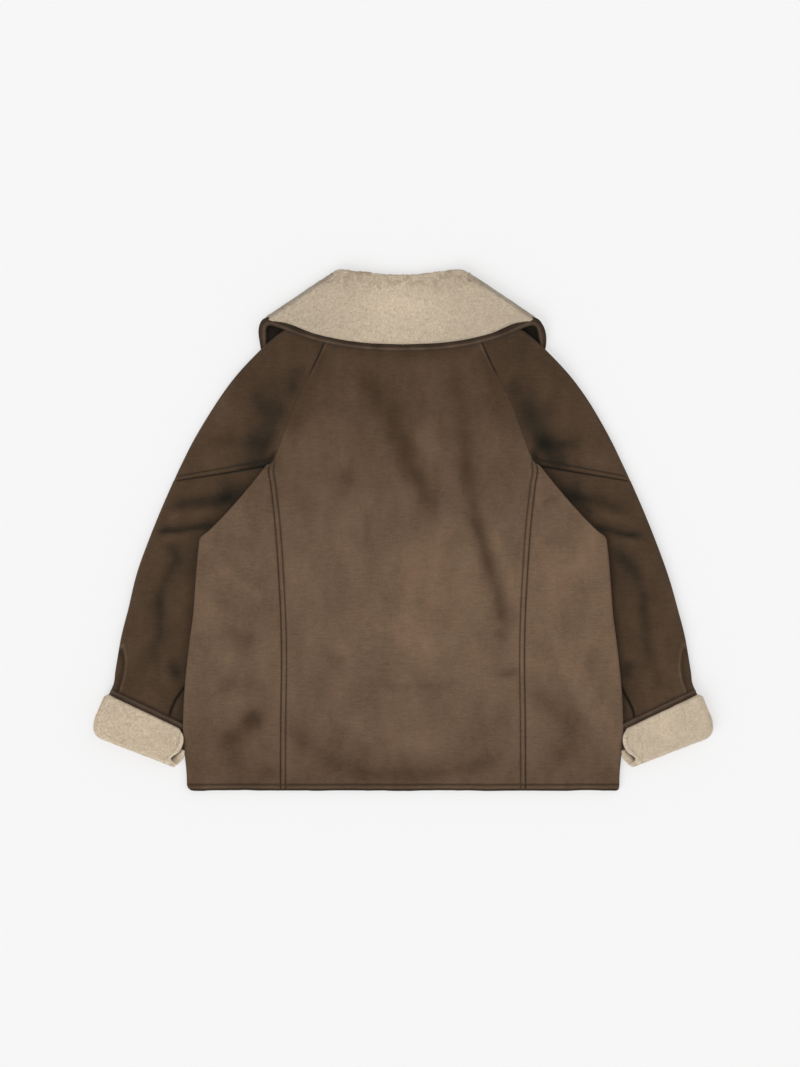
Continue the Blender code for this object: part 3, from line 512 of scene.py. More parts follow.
def sewn_edge(gap, stitch=None):
    """Height and dent by the distance from a sewn edge, in mm: the cloth rolls down into the seam.

    With stitches it is also fuller over the cloth turned in, and pulled down along the row.
    """
    down = np.clip(1.0 - gap / SEWN["roll"], 0.0, 1.0) ** 2
    rise = -SEWN["drop"] * down
    dent = SEWN["dent"] * np.exp(-(gap / SEWN["dent_width"]) ** 2)
    if stitch is not None:
        over = smooth_step(gap / SEWN["roll"]) * (1.0 - smooth_step((gap - stitch + 1.5) / 2.5))
        row = np.exp(-((gap - stitch) / SEWN["dip_width"]) ** 2)
        rise = rise + SEWN["puff"] * over - SEWN["dip"] * row
        dent = np.maximum(dent, SEWN["dent"] * row)
    return rise * MM, dent


def hem_edge(gap):
    """Height and dent by the distance from the hem's edge, in mm: folded under and stitched down."""
    rise, dent = sewn_edge(gap, HEM_STITCH)
    down = np.clip(1.0 - gap / HEM_TURN["roll"], 0.0, 1.0) ** 2
    plain = np.clip(1.0 - gap / SEWN["roll"], 0.0, 1.0) ** 2
    edge = HEM_TURN["dent"] * (1.0 - smooth_step((gap - HEM_TURN["dent_reach"]) / HEM_TURN["dent_fade"]))
    return rise + (SEWN["drop"] * plain - HEM_TURN["drop"] * down) * MM, np.maximum(dent, edge)


def cross_mark(gap, stitch=None):
    """Dent by the distance from the cross seam, in mm: deep and wide at the seam, thin at the stitches."""
    dent = CROSS_MARK["seam"] * np.exp(-(gap / CROSS_MARK["seam_width"]) ** 2)
    if stitch is not None:
        dent = np.maximum(dent, CROSS_MARK["row"] * np.exp(-((gap - stitch) / CROSS_MARK["row_width"]) ** 2))
    return dent


def slant_seam(y):
    """How plainly the slanted sleeve seam is drawn in, y in millimetres."""
    share = smooth_step((y - SLANT_SEAM["low"]) / (SLANT_SEAM["high"] - SLANT_SEAM["low"]))
    return SLANT_SEAM["faint"] + (1.0 - SLANT_SEAM["faint"]) * share


def wavy(points):
    """The hem's edge wanders by a fraction of a millimetre."""
    near = np.clip(1.0 - (points[..., 1] - HEM * MM) / 0.020, 0.0, 1.0)
    flat = raised(points[..., :2], 0.0)
    moved = points.copy()
    moved[..., 1] += near * (0.0007 * lumps(flat, 0.026, 51) + 0.0003 * lumps(flat, 0.009, 52))
    return moved


def places(first, length, step):
    """Distances from 0 to length: those of a table near a sewn edge, then even steps."""
    count = max(2, int(round((length - first[-1]) / step)) + 1)
    return np.concatenate((first, np.linspace(first[-1], length, count)[1:]))


def half_round(centre, out, low, high, steps, ahead=0.0):
    """Points of a half round from the upper face to the under face, bulging along out.

    ahead is the part of the bulge that the centre has already done.
    """
    angle = np.linspace(math.pi / 2, -math.pi / 2, steps + 1)[1:-1]
    half = (high - low) / 2.0
    bulge = np.maximum(half - ahead, 0.15 * half)
    plan = centre[:, None] + out[:, None] * (bulge[:, None] * np.cos(angle))[..., None]
    height = ((high + low) / 2.0)[:, None] + half[:, None] * np.sin(angle)
    return np.concatenate((plan, height[..., None]), -1)


def normals(points):
    """Unit normals of a grid of points: the cross product of its two slopes."""
    return unit(np.cross(np.gradient(points, axis=1), np.gradient(points, axis=0)))


def facing(outer, inner):
    """1 where columns x rows gives a normal from the inner grid to the outer one, and -1 otherwise."""
    across = outer[:-1, 1:, :3] - outer[:-1, :-1, :3]
    along = outer[1:, :-1, :3] - outer[:-1, :-1, :3]
    out = (outer - inner)[:-1, :-1, :3]
    return 1.0 if (np.cross(across, along) * out).sum() > 0.0 else -1.0


def cut_of(outer, inner, around=False):
    """The cut of a wall, midway between its faces: its longest row, longest column, and area."""
    middle = ((outer + inner) / 2.0)[..., :3]
    if around:
        middle = np.concatenate((middle, middle[:, :1]), 1)
    across = middle[:, 1:] - middle[:, :-1]
    along = middle[1:] - middle[:-1]
    first = np.cross(across[:-1], along[:, :-1])
    second = np.cross(across[1:], along[:, 1:])
    area = (np.linalg.norm(first, axis=-1) + np.linalg.norm(second, axis=-1)).sum() / 2.0
    width = np.linalg.norm(across, axis=-1).sum(1).max()
    length = np.linalg.norm(along, axis=-1).sum(0).max()
    return (float(width), float(length)), min(float(area), float(width * length))


def mesh_piece(name, points, faces, materials, finish_of=None):
    """One object at the origin from points with their finish numbers, faces and materials."""
    mesh = bpy.data.meshes.new(name)
    mesh.from_pydata(points[:, :3].tolist(), [], faces.tolist())
    for column, number in enumerate(("tone", "dent")):
        layer = mesh.attributes.new(number, "FLOAT", "POINT")
        layer.data.foreach_set("value", points[:, 3 + column].astype(np.float32))
    for material in materials:
        mesh.materials.append(material)
    if finish_of is not None:
        mesh.polygons.foreach_set("material_index", finish_of.astype(np.int32))
    mesh.shade_smooth()
    mesh.set_sharp_from_angle(angle=math.radians(SHARP_ANGLE))
    mesh.update()
    piece = bpy.data.objects.new(name, mesh)
    bpy.context.collection.objects.link(piece)
    return piece


def shell(name, outer, inner, materials, around=False, roll=0.0):
    """A closed wall between two grids of points, rows x columns x 5, with a band round its rim.

    around joins the last column to the first. roll is how far the rim bulges, in metres: its points
    run on a half ellipse from one face to the other. The inner face takes the second material.
    """
    roll = np.broadcast_to(roll, outer.shape[:2])
    if facing(outer, inner) < 0.0:
        outer, inner, roll = outer[:, ::-1], inner[:, ::-1], roll[:, ::-1]
    rows, columns = outer.shape[:2]
    index = np.arange(rows * columns).reshape(rows, columns)
    joined = np.concatenate((index, index[:, :1]), 1) if around else index
    top = np.stack((joined[:-1, :-1], joined[:-1, 1:], joined[1:, 1:], joined[1:, :-1]), -1).reshape(-1, 4)
    bottom = top[:, ::-1] + rows * columns
    if around:
        loops = [index[0], index[-1, ::-1]]
    else:
        loops = [np.concatenate((index[0, :-1], index[:-1, -1], index[-1, :0:-1], index[:0:-1, 0]))]
    outer = outer.reshape(-1, outer.shape[-1])
    inner = inner.reshape(-1, inner.shape[-1])
    points = [outer, inner]
    rims = []
    made = 2 * rows * columns
    for loop in loops:
        high, low = outer[loop], inner[loop]
        middle = (high + low) / 2.0
        half = (high - low) / 2.0
        run = np.roll(middle, -1, 0) - np.roll(middle, 1, 0)
        out = unit(np.cross(run[:, :3], half[:, :3])) * roll.reshape(-1)[loop][:, None]
        levels = [loop]
        for angle in np.linspace(0.0, math.pi, RIM_POINTS + 2)[1:-1]:
            band = middle + half * math.cos(angle)
            band[:, :3] += out * math.sin(angle)
            points.append(band)
            levels.append(made + np.arange(len(loop)))
            made += len(loop)
        levels.append(loop + rows * columns)
        for upper, lower in zip(levels[:-1], levels[1:]):
            rims.append(np.stack((np.roll(upper, -1), upper, lower, np.roll(lower, -1)), -1))
    rims = np.concatenate(rims)
    faces = np.concatenate((top, bottom, rims))
    finish_of = np.zeros(len(faces))
    finish_of[len(top):len(top) + len(bottom)] = len(materials) - 1
    return mesh_piece(name, np.concatenate(points), faces, materials, finish_of)


def dress(piece, node):
    """Let a piece stand for its solid."""
    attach(piece, "root")
    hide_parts(node)


def to_side(points, side):
    """The same points on the +X side (1) or the -X side (-1)."""
    mirror = np.ones(points.shape[-1])
    mirror[0] = side
    return points * mirror


# ---------------------------------------------------------------- shader maths


class Shader:
    """The node tree of one material, built by calls and by sums on its values."""

    def __init__(self, name):
        self.material = bpy.data.materials.new(name)
        self.material.use_nodes = True
        self.tree = self.material.node_tree
        self.surface = self.tree.nodes["Principled BSDF"]

    def node(self, kind, settings=None, sockets=None):
        """Any node: its settings first, then the values or links of its sockets."""
        made = self.tree.nodes.new("ShaderNode" + kind)
        for key, setting in (settings or {}).items():
            setattr(made, key, setting)
        for key, source in (sockets or {}).items():
            self.feed(made.inputs[key], source)
        return made

    def feed(self, socket, source):
        """Link a value to a socket, or set a plain number or colour on it."""
        if isinstance(source, Value):
            self.tree.links.new(source.socket, socket)
        elif hasattr(source, "links"):
            self.tree.links.new(source, socket)
        else:
            socket.default_value = source

    def value(self, kind, settings=None, sockets=None, output=0):
        """One output of a new node, as a value."""
        return Value(self, self.node(kind, settings, sockets).outputs[output])

    def attribute(self, name):
        """A number that the mesh holds for each point."""
        return self.value("Attribute", dict(attribute_name=name), output="Fac")

    def noise(self, scale, detail=2.0, rough=0.5, stretch=(1.0, 1.0, 1.0)):
        """Noise on the object's own coordinates, -1 to 1 about 0; scale counts lumps in a metre."""
        place = self.value("TexCoord", output="Object")
        place = self.value("Mapping", None, {"Vector": place, "Scale": stretch})
        sockets = {"Vector": place, "Scale": scale, "Detail": detail, "Roughness": rough}
        return self.value("TexNoise", dict(noise_dimensions="3D"), sockets, "Fac") * 2.0 - 1.0

    def blend(self, share, first, second):
        """A colour between two, by a share."""
        sockets = {0: share, 6: first, 7: second}
        return self.value("Mix", dict(data_type="RGBA"), sockets, output=2)

    def scaled(self, color, factor):
        """A colour made lighter or darker."""
        sockets = {0: color, "Scale": factor}
        return self.value("VectorMath", dict(operation="SCALE"), sockets)

    def bump(self, height, distance):
        """Fine relief on the surface's normal, its full height given in metres."""
        sockets = {"Height": height, "Distance": distance, "Strength": 1.0}
        self.feed(self.surface.inputs["Normal"], self.value("Bump", None, sockets))

    def finish(self, color, roughness, sheen=(0.0, 0.5), shine=0.2):
        """Set the surface: colour and roughness may vary, sheen and shine are plain numbers."""
        self.feed(self.surface.inputs["Base Color"], color)
        self.feed(self.surface.inputs["Roughness"], roughness)
        self.surface.inputs["Sheen Weight"].default_value = sheen[0]
        self.surface.inputs["Sheen Roughness"].default_value = sheen[1]
        self.surface.inputs["Specular IOR Level"].default_value = shine
        return self.material


class Value:
    """One socket of a shader, with sums, products and powers that add Math nodes."""

    def __init__(self, shader, socket):
        self.shader = shader
        self.socket = socket

    def maths(self, operation, *others):
        """A Math node on this value and others."""
        sockets = dict(enumerate((self, *others)))
        return self.shader.value("Math", dict(operation=operation), sockets)

    def __add__(self, other):
        return self.maths("ADD", other)

    __radd__ = __add__

    def __mul__(self, other):
        return self.maths("MULTIPLY", other)

    __rmul__ = __mul__

    def __sub__(self, other):
        return self.maths("SUBTRACT", other)

    def __rsub__(self, other):
        return (self * -1.0) + other

    def clipped(self):
        """The value held between 0 and 1."""
        return self.maths("MAXIMUM", 0.0).maths("MINIMUM", 1.0)


def suede_finish(name, color, dark=0.55):
    """Brushed suede: soft patches where the nap lies one way or the other, and a fine grain."""
    shader = Shader(name)
    tone = shader.attribute("tone")
    dent = shader.attribute("dent")
    patches = shader.noise(7.0, 3.0, 0.55)
    strokes = shader.noise(34.0, 3.0, 0.6, (1.0, 0.5, 1.0))
    threads = shader.noise(230.0, 2.0, 0.6, (0.35, 1.6, 1.0))
    specks = shader.noise(420.0, 3.0, 0.7)
    grain = shader.noise(1500.0, 2.0, 0.6)
    light = 1.0 + patches * 0.24 + strokes * 0.36 + threads * 0.20 + specks * 0.28 + grain * 0.12
    # tone and dent bring in the painted shade and painted highlights marked on the mesh; dark is how far
    # dent darkens.
    light = light * tone * (1.0 - dent * dark)
    cool, warm, shaded, deepest = ((*(part * shift for part, shift in zip(color, shifts)), 1.0)
                                   for shifts in SUEDE_HUES.values())
    red = shader.noise(52.0, 4.0, 0.7)
    hue = shader.blend((patches * 0.2 + red * 1.2 + 0.5).clipped(), cool, warm)
    hue = shader.blend((light * 2.2 - 0.95).clipped(), shaded, hue)
    hue = shader.blend((light * 6.0 - 0.9).clipped(), deepest, hue)
    shader.bump(specks * 0.5 + grain * 0.5 + strokes * 0.6, 0.00028)
    return shader.finish(shader.scaled(hue, light.maths("MAXIMUM", 0.10)), (0.88 + specks * 0.05).clipped(),
                         sheen=(0.09, 0.45), shine=0.12)


def pile_finish(name, color, deep):
    """Short pile: paler at the tips of its curls, darker and warmer between them as painted shade, where
    dent is marked.
    """
    shader = Shader(name)
    tone = shader.attribute("tone")
    dent = shader.attribute("dent")
    patches = shader.noise(16.0, 2.0, 0.5)
    curls = shader.noise(330.0, 3.0, 0.65)
    fibres = shader.noise(1300.0, 2.0, 0.6)
    light = 1.0 + patches * 0.10 + curls * 0.16 + fibres * 0.12
    # dent blends towards the colour in painted shade; tone brings in painted light and shade.
    hue = shader.blend((dent + curls * -0.20).clipped(), (*color, 1.0), (*deep, 1.0))
    shader.bump(curls + fibres * 0.5, 0.0005)
    return shader.finish(shader.scaled(hue, light * tone), (0.93 + fibres * 0.04).clipped(),
                         sheen=(0.35, 0.6), shine=0.15)


def thread_finish(name, color):
    """Dull twisted thread."""
    shader = Shader(name)
    twist = shader.noise(2400.0, 2.0, 0.5)
    shader.bump(twist, 0.0001)
    return shader.finish(shader.scaled(color, 1.0 + twist * 0.3), 0.7, (0.1, 0.5), 0.3)


suede = suede_finish("suede", SUEDE)
suede_strip = suede_finish("suede_binding", SUEDE_STRIP, dark=0.6)
pile = pile_finish("pile", PILE, PILE_IN_SHADE)
thread = thread_finish("thread", THREAD)


# ---------------------------------------------------------------- the body


def back_half_width(y):
    """Distance of the back's long seam and sleeve seam from the middle, y in millimetres."""
    return through(y, BACK_SEAM["y"], BACK_SEAM["x"]) * MM


def neck_edge(x):
    """Y of the neck edge: a shallow dip behind the neck, then a straight run to the shoulder fold."""
    corner = BACK_SEAM["x"][-1] * MM
    x = np.abs(x)
    top = NECK * MM
    dip = NECK_DIP * MM * (1.0 - np.minimum(x / corner, 1.0) ** 2)
    fall = (top - SHOULDER["y"][-1] * MM) / (SHOULDER["x"][-1] * MM - corner)
    return top - dip - fall * np.maximum(x - corner, 0.0)


def back_painted_shade(plan):
    """Painted shade on the back: darker towards the collar, and a little on the left."""
    along = through(plan[..., 1] / MM, BACK_PAINTED_SHADE["y"], BACK_PAINTED_SHADE["tone"])
    return along * (0.96 + 0.16 * plan[..., 0])


def surface_waves(plan):
    """Very low waves of cloth that has been handled."""
    flat = raised(plan, 0.0)
    return 0.00022 * lumps(flat, 0.034, 3) + 0.00008 * lumps(flat, 0.011, 4)


def upper_layer(plan):
    """Underside and top of the back over a plan, before its edges are sewn."""
    waves, tone = creased(plan, BACK_CREASES)
    under = body_floor(plan) + CLOTH + AIR + soft_folds(plan)
    # The tone carries painted shade along the back, and the creases' painted shade and highlights.
    return under, under + CLOTH + waves + surface_waves(plan), back_painted_shade(plan) * (1.0 + tone)


def make_back():
    """The middle of the back, sewn along both sides, stitched beside the long seams and the hem."""
    y = places(np.array(HEM_STEPS), NECK - HEM, STEP) + HEM
    half = back_half_width(y) - SEAM / 2
    edge = np.array(SEAM_STEPS) * MM
    count = int(round(2 * (half.max() - edge[-1]) / (STEP * MM)))
    middle = np.linspace(-1.0, 1.0, count)[1:-1] * (half - edge[-1])[:, None]
    x = np.concatenate((edge - half[:, None], middle, (half[:, None] - edge)[:, ::-1]), 1)
    top = smooth_step((y - NECK_FROM) / (NECK - NECK_FROM))[:, None]
    plan = np.stack((x, y[:, None] * MM + top * (neck_edge(x) - NECK * MM)), -1)
    gap = (half[:, None] - np.abs(x)) / MM
    straight = (back_half_width(np.minimum(y, SIDE_TOP))[:, None] - SEAM / 2 - np.abs(x)) / MM
    stitched, stitched_dent = sewn_edge(straight, STITCH_IN)
    plain, plain_dent = sewn_edge(gap)
    below = 1.0 - smooth_step((y - STITCH_TOP) / STITCH_END)[:, None]
    share = smooth_step((y - SIDE_TOP + SEAM_CHANGE) / (2 * SEAM_CHANGE))[:, None]
    faint = share * slant_seam(y)[:, None]
    hem, hem_dent = hem_edge(y[:, None] - HEM)
    under, top_face, tone = upper_layer(plan)
    rise = stitched * below + plain * faint + hem
    dent = np.maximum(np.maximum(stitched_dent * below, plain_dent * faint), hem_dent)
    near_collar = smooth_step((y - SLANT_SEAM["low"]) / (SLANT_SEAM["high"] - SLANT_SEAM["low"]))[:, None]
    # A painted highlight along the ridge beside the sleeve seam, near the collar.
    ridge = np.exp(-((gap - SEAM_RIDGE_HIGHLIGHT["at"]) / SEAM_RIDGE_HIGHLIGHT["width"]) ** 2) * near_collar
    tone = tone * (1.0 + SEAM_RIDGE_HIGHLIGHT["tone"] * ridge)
    outer = wavy(painted(raised(plan, top_face + rise), tone, dent))
    inner = wavy(painted(raised(plan, under)))
    piece = shell("back_center", outer, inner, [suede, pile])
    dress(piece, "back_center")
    flat, area = cut_of(painted(raised(plan, under + CLOTH)), inner)
    last = int(np.searchsorted(y, SIDE_TOP + 1.0))
    row = SEAM_STEPS.index(STITCH_IN)
    return [outer[:last, row], outer[:last, -1 - row], outer[HEM_STEPS.index(HEM_STITCH)]]


def side_rows(y, side):
    """Plan of the body's side at heights of the long seam: seam, flat part's end, and its way out."""
    seam = np.stack((back_half_width(y) + SEAM / 2 - LAP, y * MM), -1)
    edge = np.stack([through(y, SIDE_EDGE["seam_y"], SIDE_EDGE[key]) for key in "xy"], -1) * MM
    corner = HEM_CORNER["R" if side > 0 else "L"]
    short = np.clip(1.0 - (y - HEM) / corner, 0.0, 1.0)
    edge[..., 0] -= corner * MM * (1.0 - np.sqrt(1.0 - short ** 2))
    way = unit(edge - seam)
    return seam, edge - EDGE_BEND * way, way


def make_back_side(name, side):
    """The side of the back: flat, then a quarter round at its outer edge down to the fronts."""
    y = places(np.array(HEM_STEPS), CORNER_TOP - HEM, STEP) + HEM
    seam, end, way = side_rows(y, side)
    width = np.linalg.norm(end - seam, axis=-1)
    near = np.array(PLAIN_STEPS)
    steps = places(near, width.max() / MM, STEP)
    share = steps / steps[-1]
    run = seam[:, None] * (1.0 - share[:, None]) + end[:, None] * share[:, None]
    mirror = np.array((side, 1.0))
    floor = body_floor(run)
    under, top_face, tone = upper_layer(run * mirror)
    gap = share * width[:, None] / MM
    sewn, sewn_dent = sewn_edge(gap)
    hem, hem_dent = hem_edge(y[:, None] - HEM)
    rise = sewn + hem
    outer = [painted(raised(run, top_face + rise), tone, np.maximum(sewn_dent, hem_dent))]
    inner = [painted(raised(run, under))]
    level = under[:, -1] - SEAM
    extra = (top_face + rise - under - CLOTH)[:, -1]
    for angle in np.linspace(0.0, math.pi / 2, SIDE_STEPS)[1:]:
        for sheet, radius, more in ((outer, EDGE_BEND, extra), (inner, SEAM, 0.0)):
            point = end + way * radius * math.sin(angle)
            height = level + (radius + more) * math.cos(angle)
            sheet.append(painted(raised(point, height), tone[:, -1], hem_dent[:, 0])[:, None])
    for sheet, radius in ((outer, EDGE_BEND), (inner, SEAM)):
        # Painted shade on the last points, where the side meets what lies under it.
        point = raised(end + way * radius, floor[:, -1])
        sheet.append(painted(point, tone[:, -1], 0.3)[:, None])
    outer = wavy(to_side(np.concatenate(outer, 1), side))
    inner = wavy(to_side(np.concatenate(inner, 1), side))
    piece = shell(name, outer, inner, [suede, pile])
    dress(piece, name)
    flat, area = cut_of(outer, inner)
    "front" + name[-2:]
    "sleeve_lower" + name[-2:]
    return [outer[HEM_STEPS.index(HEM_STITCH)]]


def make_front(name, side):
    """One front, hidden under the back: cut away at the neck, open down the middle."""
    y = places(np.array(HEM_STEPS), NECKLINE["y"][-1] - HEM, HIDDEN_STEP) + HEM
    neck = np.interp(y, NECKLINE["y"], NECKLINE["x"]) * MM
    inner_x = np.maximum(np.where(y < NECKLINE["y"][0], 0.0, neck), SEAM / 2)
    seam = np.stack((back_half_width(y) - SEAM / 2, y * MM), -1)
    beside = (y <= SIDE_TOP)[:, None]
    end = np.where(beside, side_rows(np.minimum(y, SIDE_TOP), side)[1], seam)
    start = np.stack((inner_x, y * MM), -1)
    share = np.linspace(0.0, 1.0, FRONT_COLUMNS)[:, None]
    plan = start[:, None] * (1.0 - share) + end[:, None] * share
    floor = body_floor(plan)
    hem = sewn_edge(y[:, None] - HEM, HEM_STITCH)[0]
    outer = wavy(painted(to_side(raised(plan, floor), side), 0.7, 0.3))
    inner = wavy(painted(to_side(raised(plan, floor + CLOTH + np.minimum(hem, 0.0)), side), 0.7, 0.3))
    piece = shell(name, outer, inner, [suede, pile])
    dress(piece, name)
    flat, area = cut_of(outer, inner)
    "sleeve_lower" + name[-2:]


# ---------------------------------------------------------------- the sleeves


def make_sleeve_upper(name, side, creases):
    """The shoulder piece: an upper and an under layer in one, joined round the sleeve's outline."""
    lap = LAP / MM
    seam_y = np.array((CROSS_SEAM["inner"][1] - lap,) + SHOULDER["seam_y"])
    extra = CROSS_SEAM["inner"][0] * MM - back_half_width(seam_y[0]) - SEAM / 2
    out_x = (CROSS_SEAM["outer"][0],) + SHOULDER["x"]
    out_y = (CROSS_SEAM["outer"][1] - lap,) + SHOULDER["y"]
    keys = np.concatenate(([0.0], np.cumsum(np.hypot(np.diff(out_x), np.diff(out_y)))))
    along = places(np.array(CROSS_STEPS), keys[-1], STEP)
    y = through(along, keys, seam_y)
    spare = extra * np.clip((SHOULDER["seam_y"][0] - y) / (SHOULDER["seam_y"][0] - seam_y[0]), 0.0, 1.0)
    seam = np.stack((back_half_width(y) + SEAM / 2 + spare - LAP, y * MM), -1)
    outline = np.stack((through(along, keys, out_x), through(along, keys, out_y)), -1) * MM
    way = unit(outline - seam)
    centre = outline - way * (CLOTH + AIR / 2)
    width = np.linalg.norm(centre - seam, axis=-1)
    steps = places(np.array(PLAIN_STEPS), width.max() / MM, STEP * ACROSS_SLEEVE)
    share = (steps / steps[-1])[:, None]
    hidden = np.linspace(1.0, 0.0, UNDER_COLUMNS)[:, None]
    run = seam[:, None] * (1.0 - share) + centre[:, None] * share
    back_run = seam[:, None] * (1.0 - hidden) + centre[:, None] * hidden
    mirror = np.array((side, 1.0))
    waves, tone = creased(run * mirror, creases)
    calm = smooth_step((1.0 - share[:, 0]) * width[:, None] / SHOULDER_CALM)
    sewn, sewn_dent = sewn_edge(share[:, 0] * width[:, None] / MM)
    cross = sewn_edge(along[:, None], CROSS_STITCH)[0]
    cross_dent = cross_mark(along[:, None], CROSS_STITCH)
    shown = slant_seam(y)[:, None]
    joined = upper_layer(seam * mirror)[0] - over_collar(seam) - CLOTH - AIR
    joined = joined * smooth_step((y - SHOULDER_JOIN["from_y"]) / SHOULDER_JOIN["rise"])
    lift = joined[:, None] * (1.0 - smooth_step(share[:, 0] * width[:, None] / SHOULDER_JOIN["reach"] / MM))
    rise = waves * calm + surface_waves(run * mirror) * calm + sewn * shown + cross * calm + lift
    dent = np.maximum(sewn_dent * shown, cross_dent)
    # Painted shade under the collar, and the creases' painted shade and highlights.
    tone = SHOULDER_TONE * (1.0 + tone) * shoulder_shade_under_collar(run)
    sheets = []
    for inset in (0.0, CLOTH):
        floor = over_collar(run)
        under_floor = over_collar(back_run)
        high = floor + 2 * CLOTH + AIR - inset
        turn = half_round(centre, way, floor[:, -1] + inset, high[:, -1], ROUND_STEPS)
        face = raised(run, high + (rise if inset == 0.0 else lift))
        sheets.append(np.concatenate((
            painted(face, tone, dent if inset == 0.0 else 0.0),
            painted(turn, tone[:, -1:], 0.0),
            painted(raised(back_run, under_floor + inset), tone[:, -1:], 0.0)), 1))
    outer, inner = (fuller(to_side(sheet, side)) for sheet in sheets)
    piece = shell(name, outer, inner, [suede, pile])
    dress(piece, name)
    flat, area = cut_of(outer, inner)
    return [outer[CROSS_STEPS.index(CROSS_STITCH), :len(steps)]]


def fuller(points):
    """The left sleeve's outline stands out a little further than the right one's."""
    x, y = -points[..., 0] / MM, points[..., 1] / MM
    share = [smooth_step((at - ends[0]) / (ends[1] - ends[0]))
             for at, ends in ((x, LEFT_FULLER["x"]), (y, LEFT_FULLER["low"]), (y, LEFT_FULLER["high"]))]
    moved = points.copy()
    moved[..., 0] -= LEFT_FULLER["by"] * MM * share[0] * share[1] * (1.0 - share[2])
    return moved


def shoulder_shade_under_collar(plan):
    """Painted shade: darkest under the collar, and lighter towards the cross seam."""
    return 0.86 + 0.16 * smooth_step((0.26 - plan[..., 1]) / 0.16)


def cuff_plan(along, past):
    """The cuff's two layers between its bound edge (0) and its fold (1), moved on by past.

    Gives for each row the split end of the upper layer, the middle of the round outer side, the
    split end of the under layer, and the way out.
    """
    table = {key: through(along, CUFF["along"], values) for key, values in CUFF.items()}
    step = {key: values[-1] - values[0] for key, values in CUFF.items()}
    outer, upper, under = (np.stack((table[key + "_x"], table[key + "_y"]), -1) * MM
                           for key in ("outer", "upper", "under"))
    moved = unit(np.array((step["outer_x"], step["outer_y"]))) * np.asarray(past)[..., None]
    way = unit(outer - upper)
    centre = outer - way * CUFF_HALF
    return upper + moved, centre + moved, under + moved, way


def sleeve_rows():
    """Rows of the lower sleeve: start and end of its flat part, way out, underside, half height."""
    outer = np.stack((SLEEVE["outer_x"], SLEEVE["outer_y"]), -1) * MM
    inner = np.stack((SLEEVE["inner_x"], SLEEVE["inner_y"]), -1) * MM
    way = unit(outer - inner)
    half = CLOTH + np.array(SLEEVE["air"]) * MM / 2
    start = inner + way * half[:, None]
    end = outer - way * half[:, None]
    start[0, 1] += LAP
    end[0, 1] += LAP
    upper, centre, _, cuff_way = cuff_plan(np.array(CUFF_ROWS), np.array((0.0, 0.0, -SEAM)))
    cuff_half = np.full(len(CUFF_ROWS), CLOTH + CUFF_AIR / 2)
    start = np.concatenate((start, upper + cuff_way * (cuff_half + SLEEVE_TUCK)[:, None]))
    end = np.concatenate((end, centre))
    way = np.concatenate((way, cuff_way))
    low = np.concatenate((np.array(SLEEVE["low"]) * MM, CUFF_HALF - cuff_half))
    return start, end, way, low, np.concatenate((half, cuff_half))


def make_sleeve_lower(name, side, creases):
    """The sleeve tube, pressed flat: a round edge at its outline and at its inner side."""
    start, end, way, low, half = sleeve_rows()
    middle = (start + end) / 2
    keys = np.concatenate(([0.0], np.cumsum(np.linalg.norm(np.diff(middle, axis=0), axis=-1)))) / MM
    along = places(np.array(PLAIN_STEPS), keys[-1], SLEEVE_STEP)
    start, end, way = (np.stack([through(along, keys, table[:, axis]) for axis in (0, 1)], -1)
                       for table in (start, end, way))
    low, half = (through(along, keys, table) for table in (low, half))
    way = unit(way)
    width = np.linalg.norm(end - start, axis=-1)
    count = int(round(width.max() / MM / (SLEEVE_STEP * ACROSS_SLEEVE)))
    share = np.linspace(0.0, 1.0, count)[:, None]
    share = share - 0.10 * np.sin(2 * math.pi * share) / (2 * math.pi)
    hidden = np.linspace(1.0, 0.0, UNDER_COLUMNS)[:, None]
    run = start[:, None] * (1.0 - share) + end[:, None] * share
    back_run = start[:, None] * (1.0 - hidden) + end[:, None] * hidden
    mirror = np.array((side, 1.0))
    waves, tone = creased(run * mirror, creases)
    edge = np.minimum(share[:, 0], 1.0 - share[:, 0]) * width[:, None]
    calm = smooth_step(edge / SLEEVE_CALM["edge"]) * clear_of_body(run, SLEEVE_CALM["body"])
    calm = calm * before_cuff(run)
    cross = sewn_edge(along[:, None])[0]
    cross_dent = cross_mark(along[:, None])
    full = SLEEVE_FULL["high"] * smooth_step(edge / SLEEVE_FULL["reach"])
    rise = (waves + surface_waves(run * mirror) * SLEEVE_FULL["waves"] + full) * calm + cross
    # Painted shadow beside the body, and the creases' painted shade and highlights.
    tone = SLEEVE_TONE * (1.0 + tone) * sleeve_shadow_and_tone(run)
    sheets = []
    for inset in (0.0, CLOTH):
        base = low + inset
        top = low + 2 * half - inset
        outside = half_round(end, way, base, top, ROUND_STEPS)
        inside = half_round(start, -way, base, top, INSIDE_STEPS)[:, ::-1]
        face = raised(run, top[:, None] + (rise if inset == 0.0 else rise - cross))
        sheets.append(np.concatenate((
            painted(face, tone, cross_dent if inset == 0.0 else 0.0),
            painted(outside, tone[:, -1:], 0.0),
            painted(raised(back_run, base[:, None]), tone[:, -1:], 0.0),
            painted(inside, tone[:, :1], 0.0)), 1))
    outer, inner = (fuller(to_side(sheet, side)) for sheet in sheets)
    piece = shell(name, outer, inner, [suede, pile], around=True)
    dress(piece, name)
    flat, area = cut_of(outer, inner, around=True)


def clear_of_body(plan, reach):
    """0 under the side of the body, and 1 from `reach` metres outside it."""
    chain = tuple(zip(SIDE_EDGE["x"], SIDE_EDGE["y"]))
    return smooth_step(-from_path(plan, chain)[0] / reach)


def before_cuff(plan):
    """1 on the sleeve, falling to 0 where it goes into the cuff."""
    return smooth_step(-from_path(plan, CUFF_MOUTH)[0] / SLEEVE_CALM["cuff"])


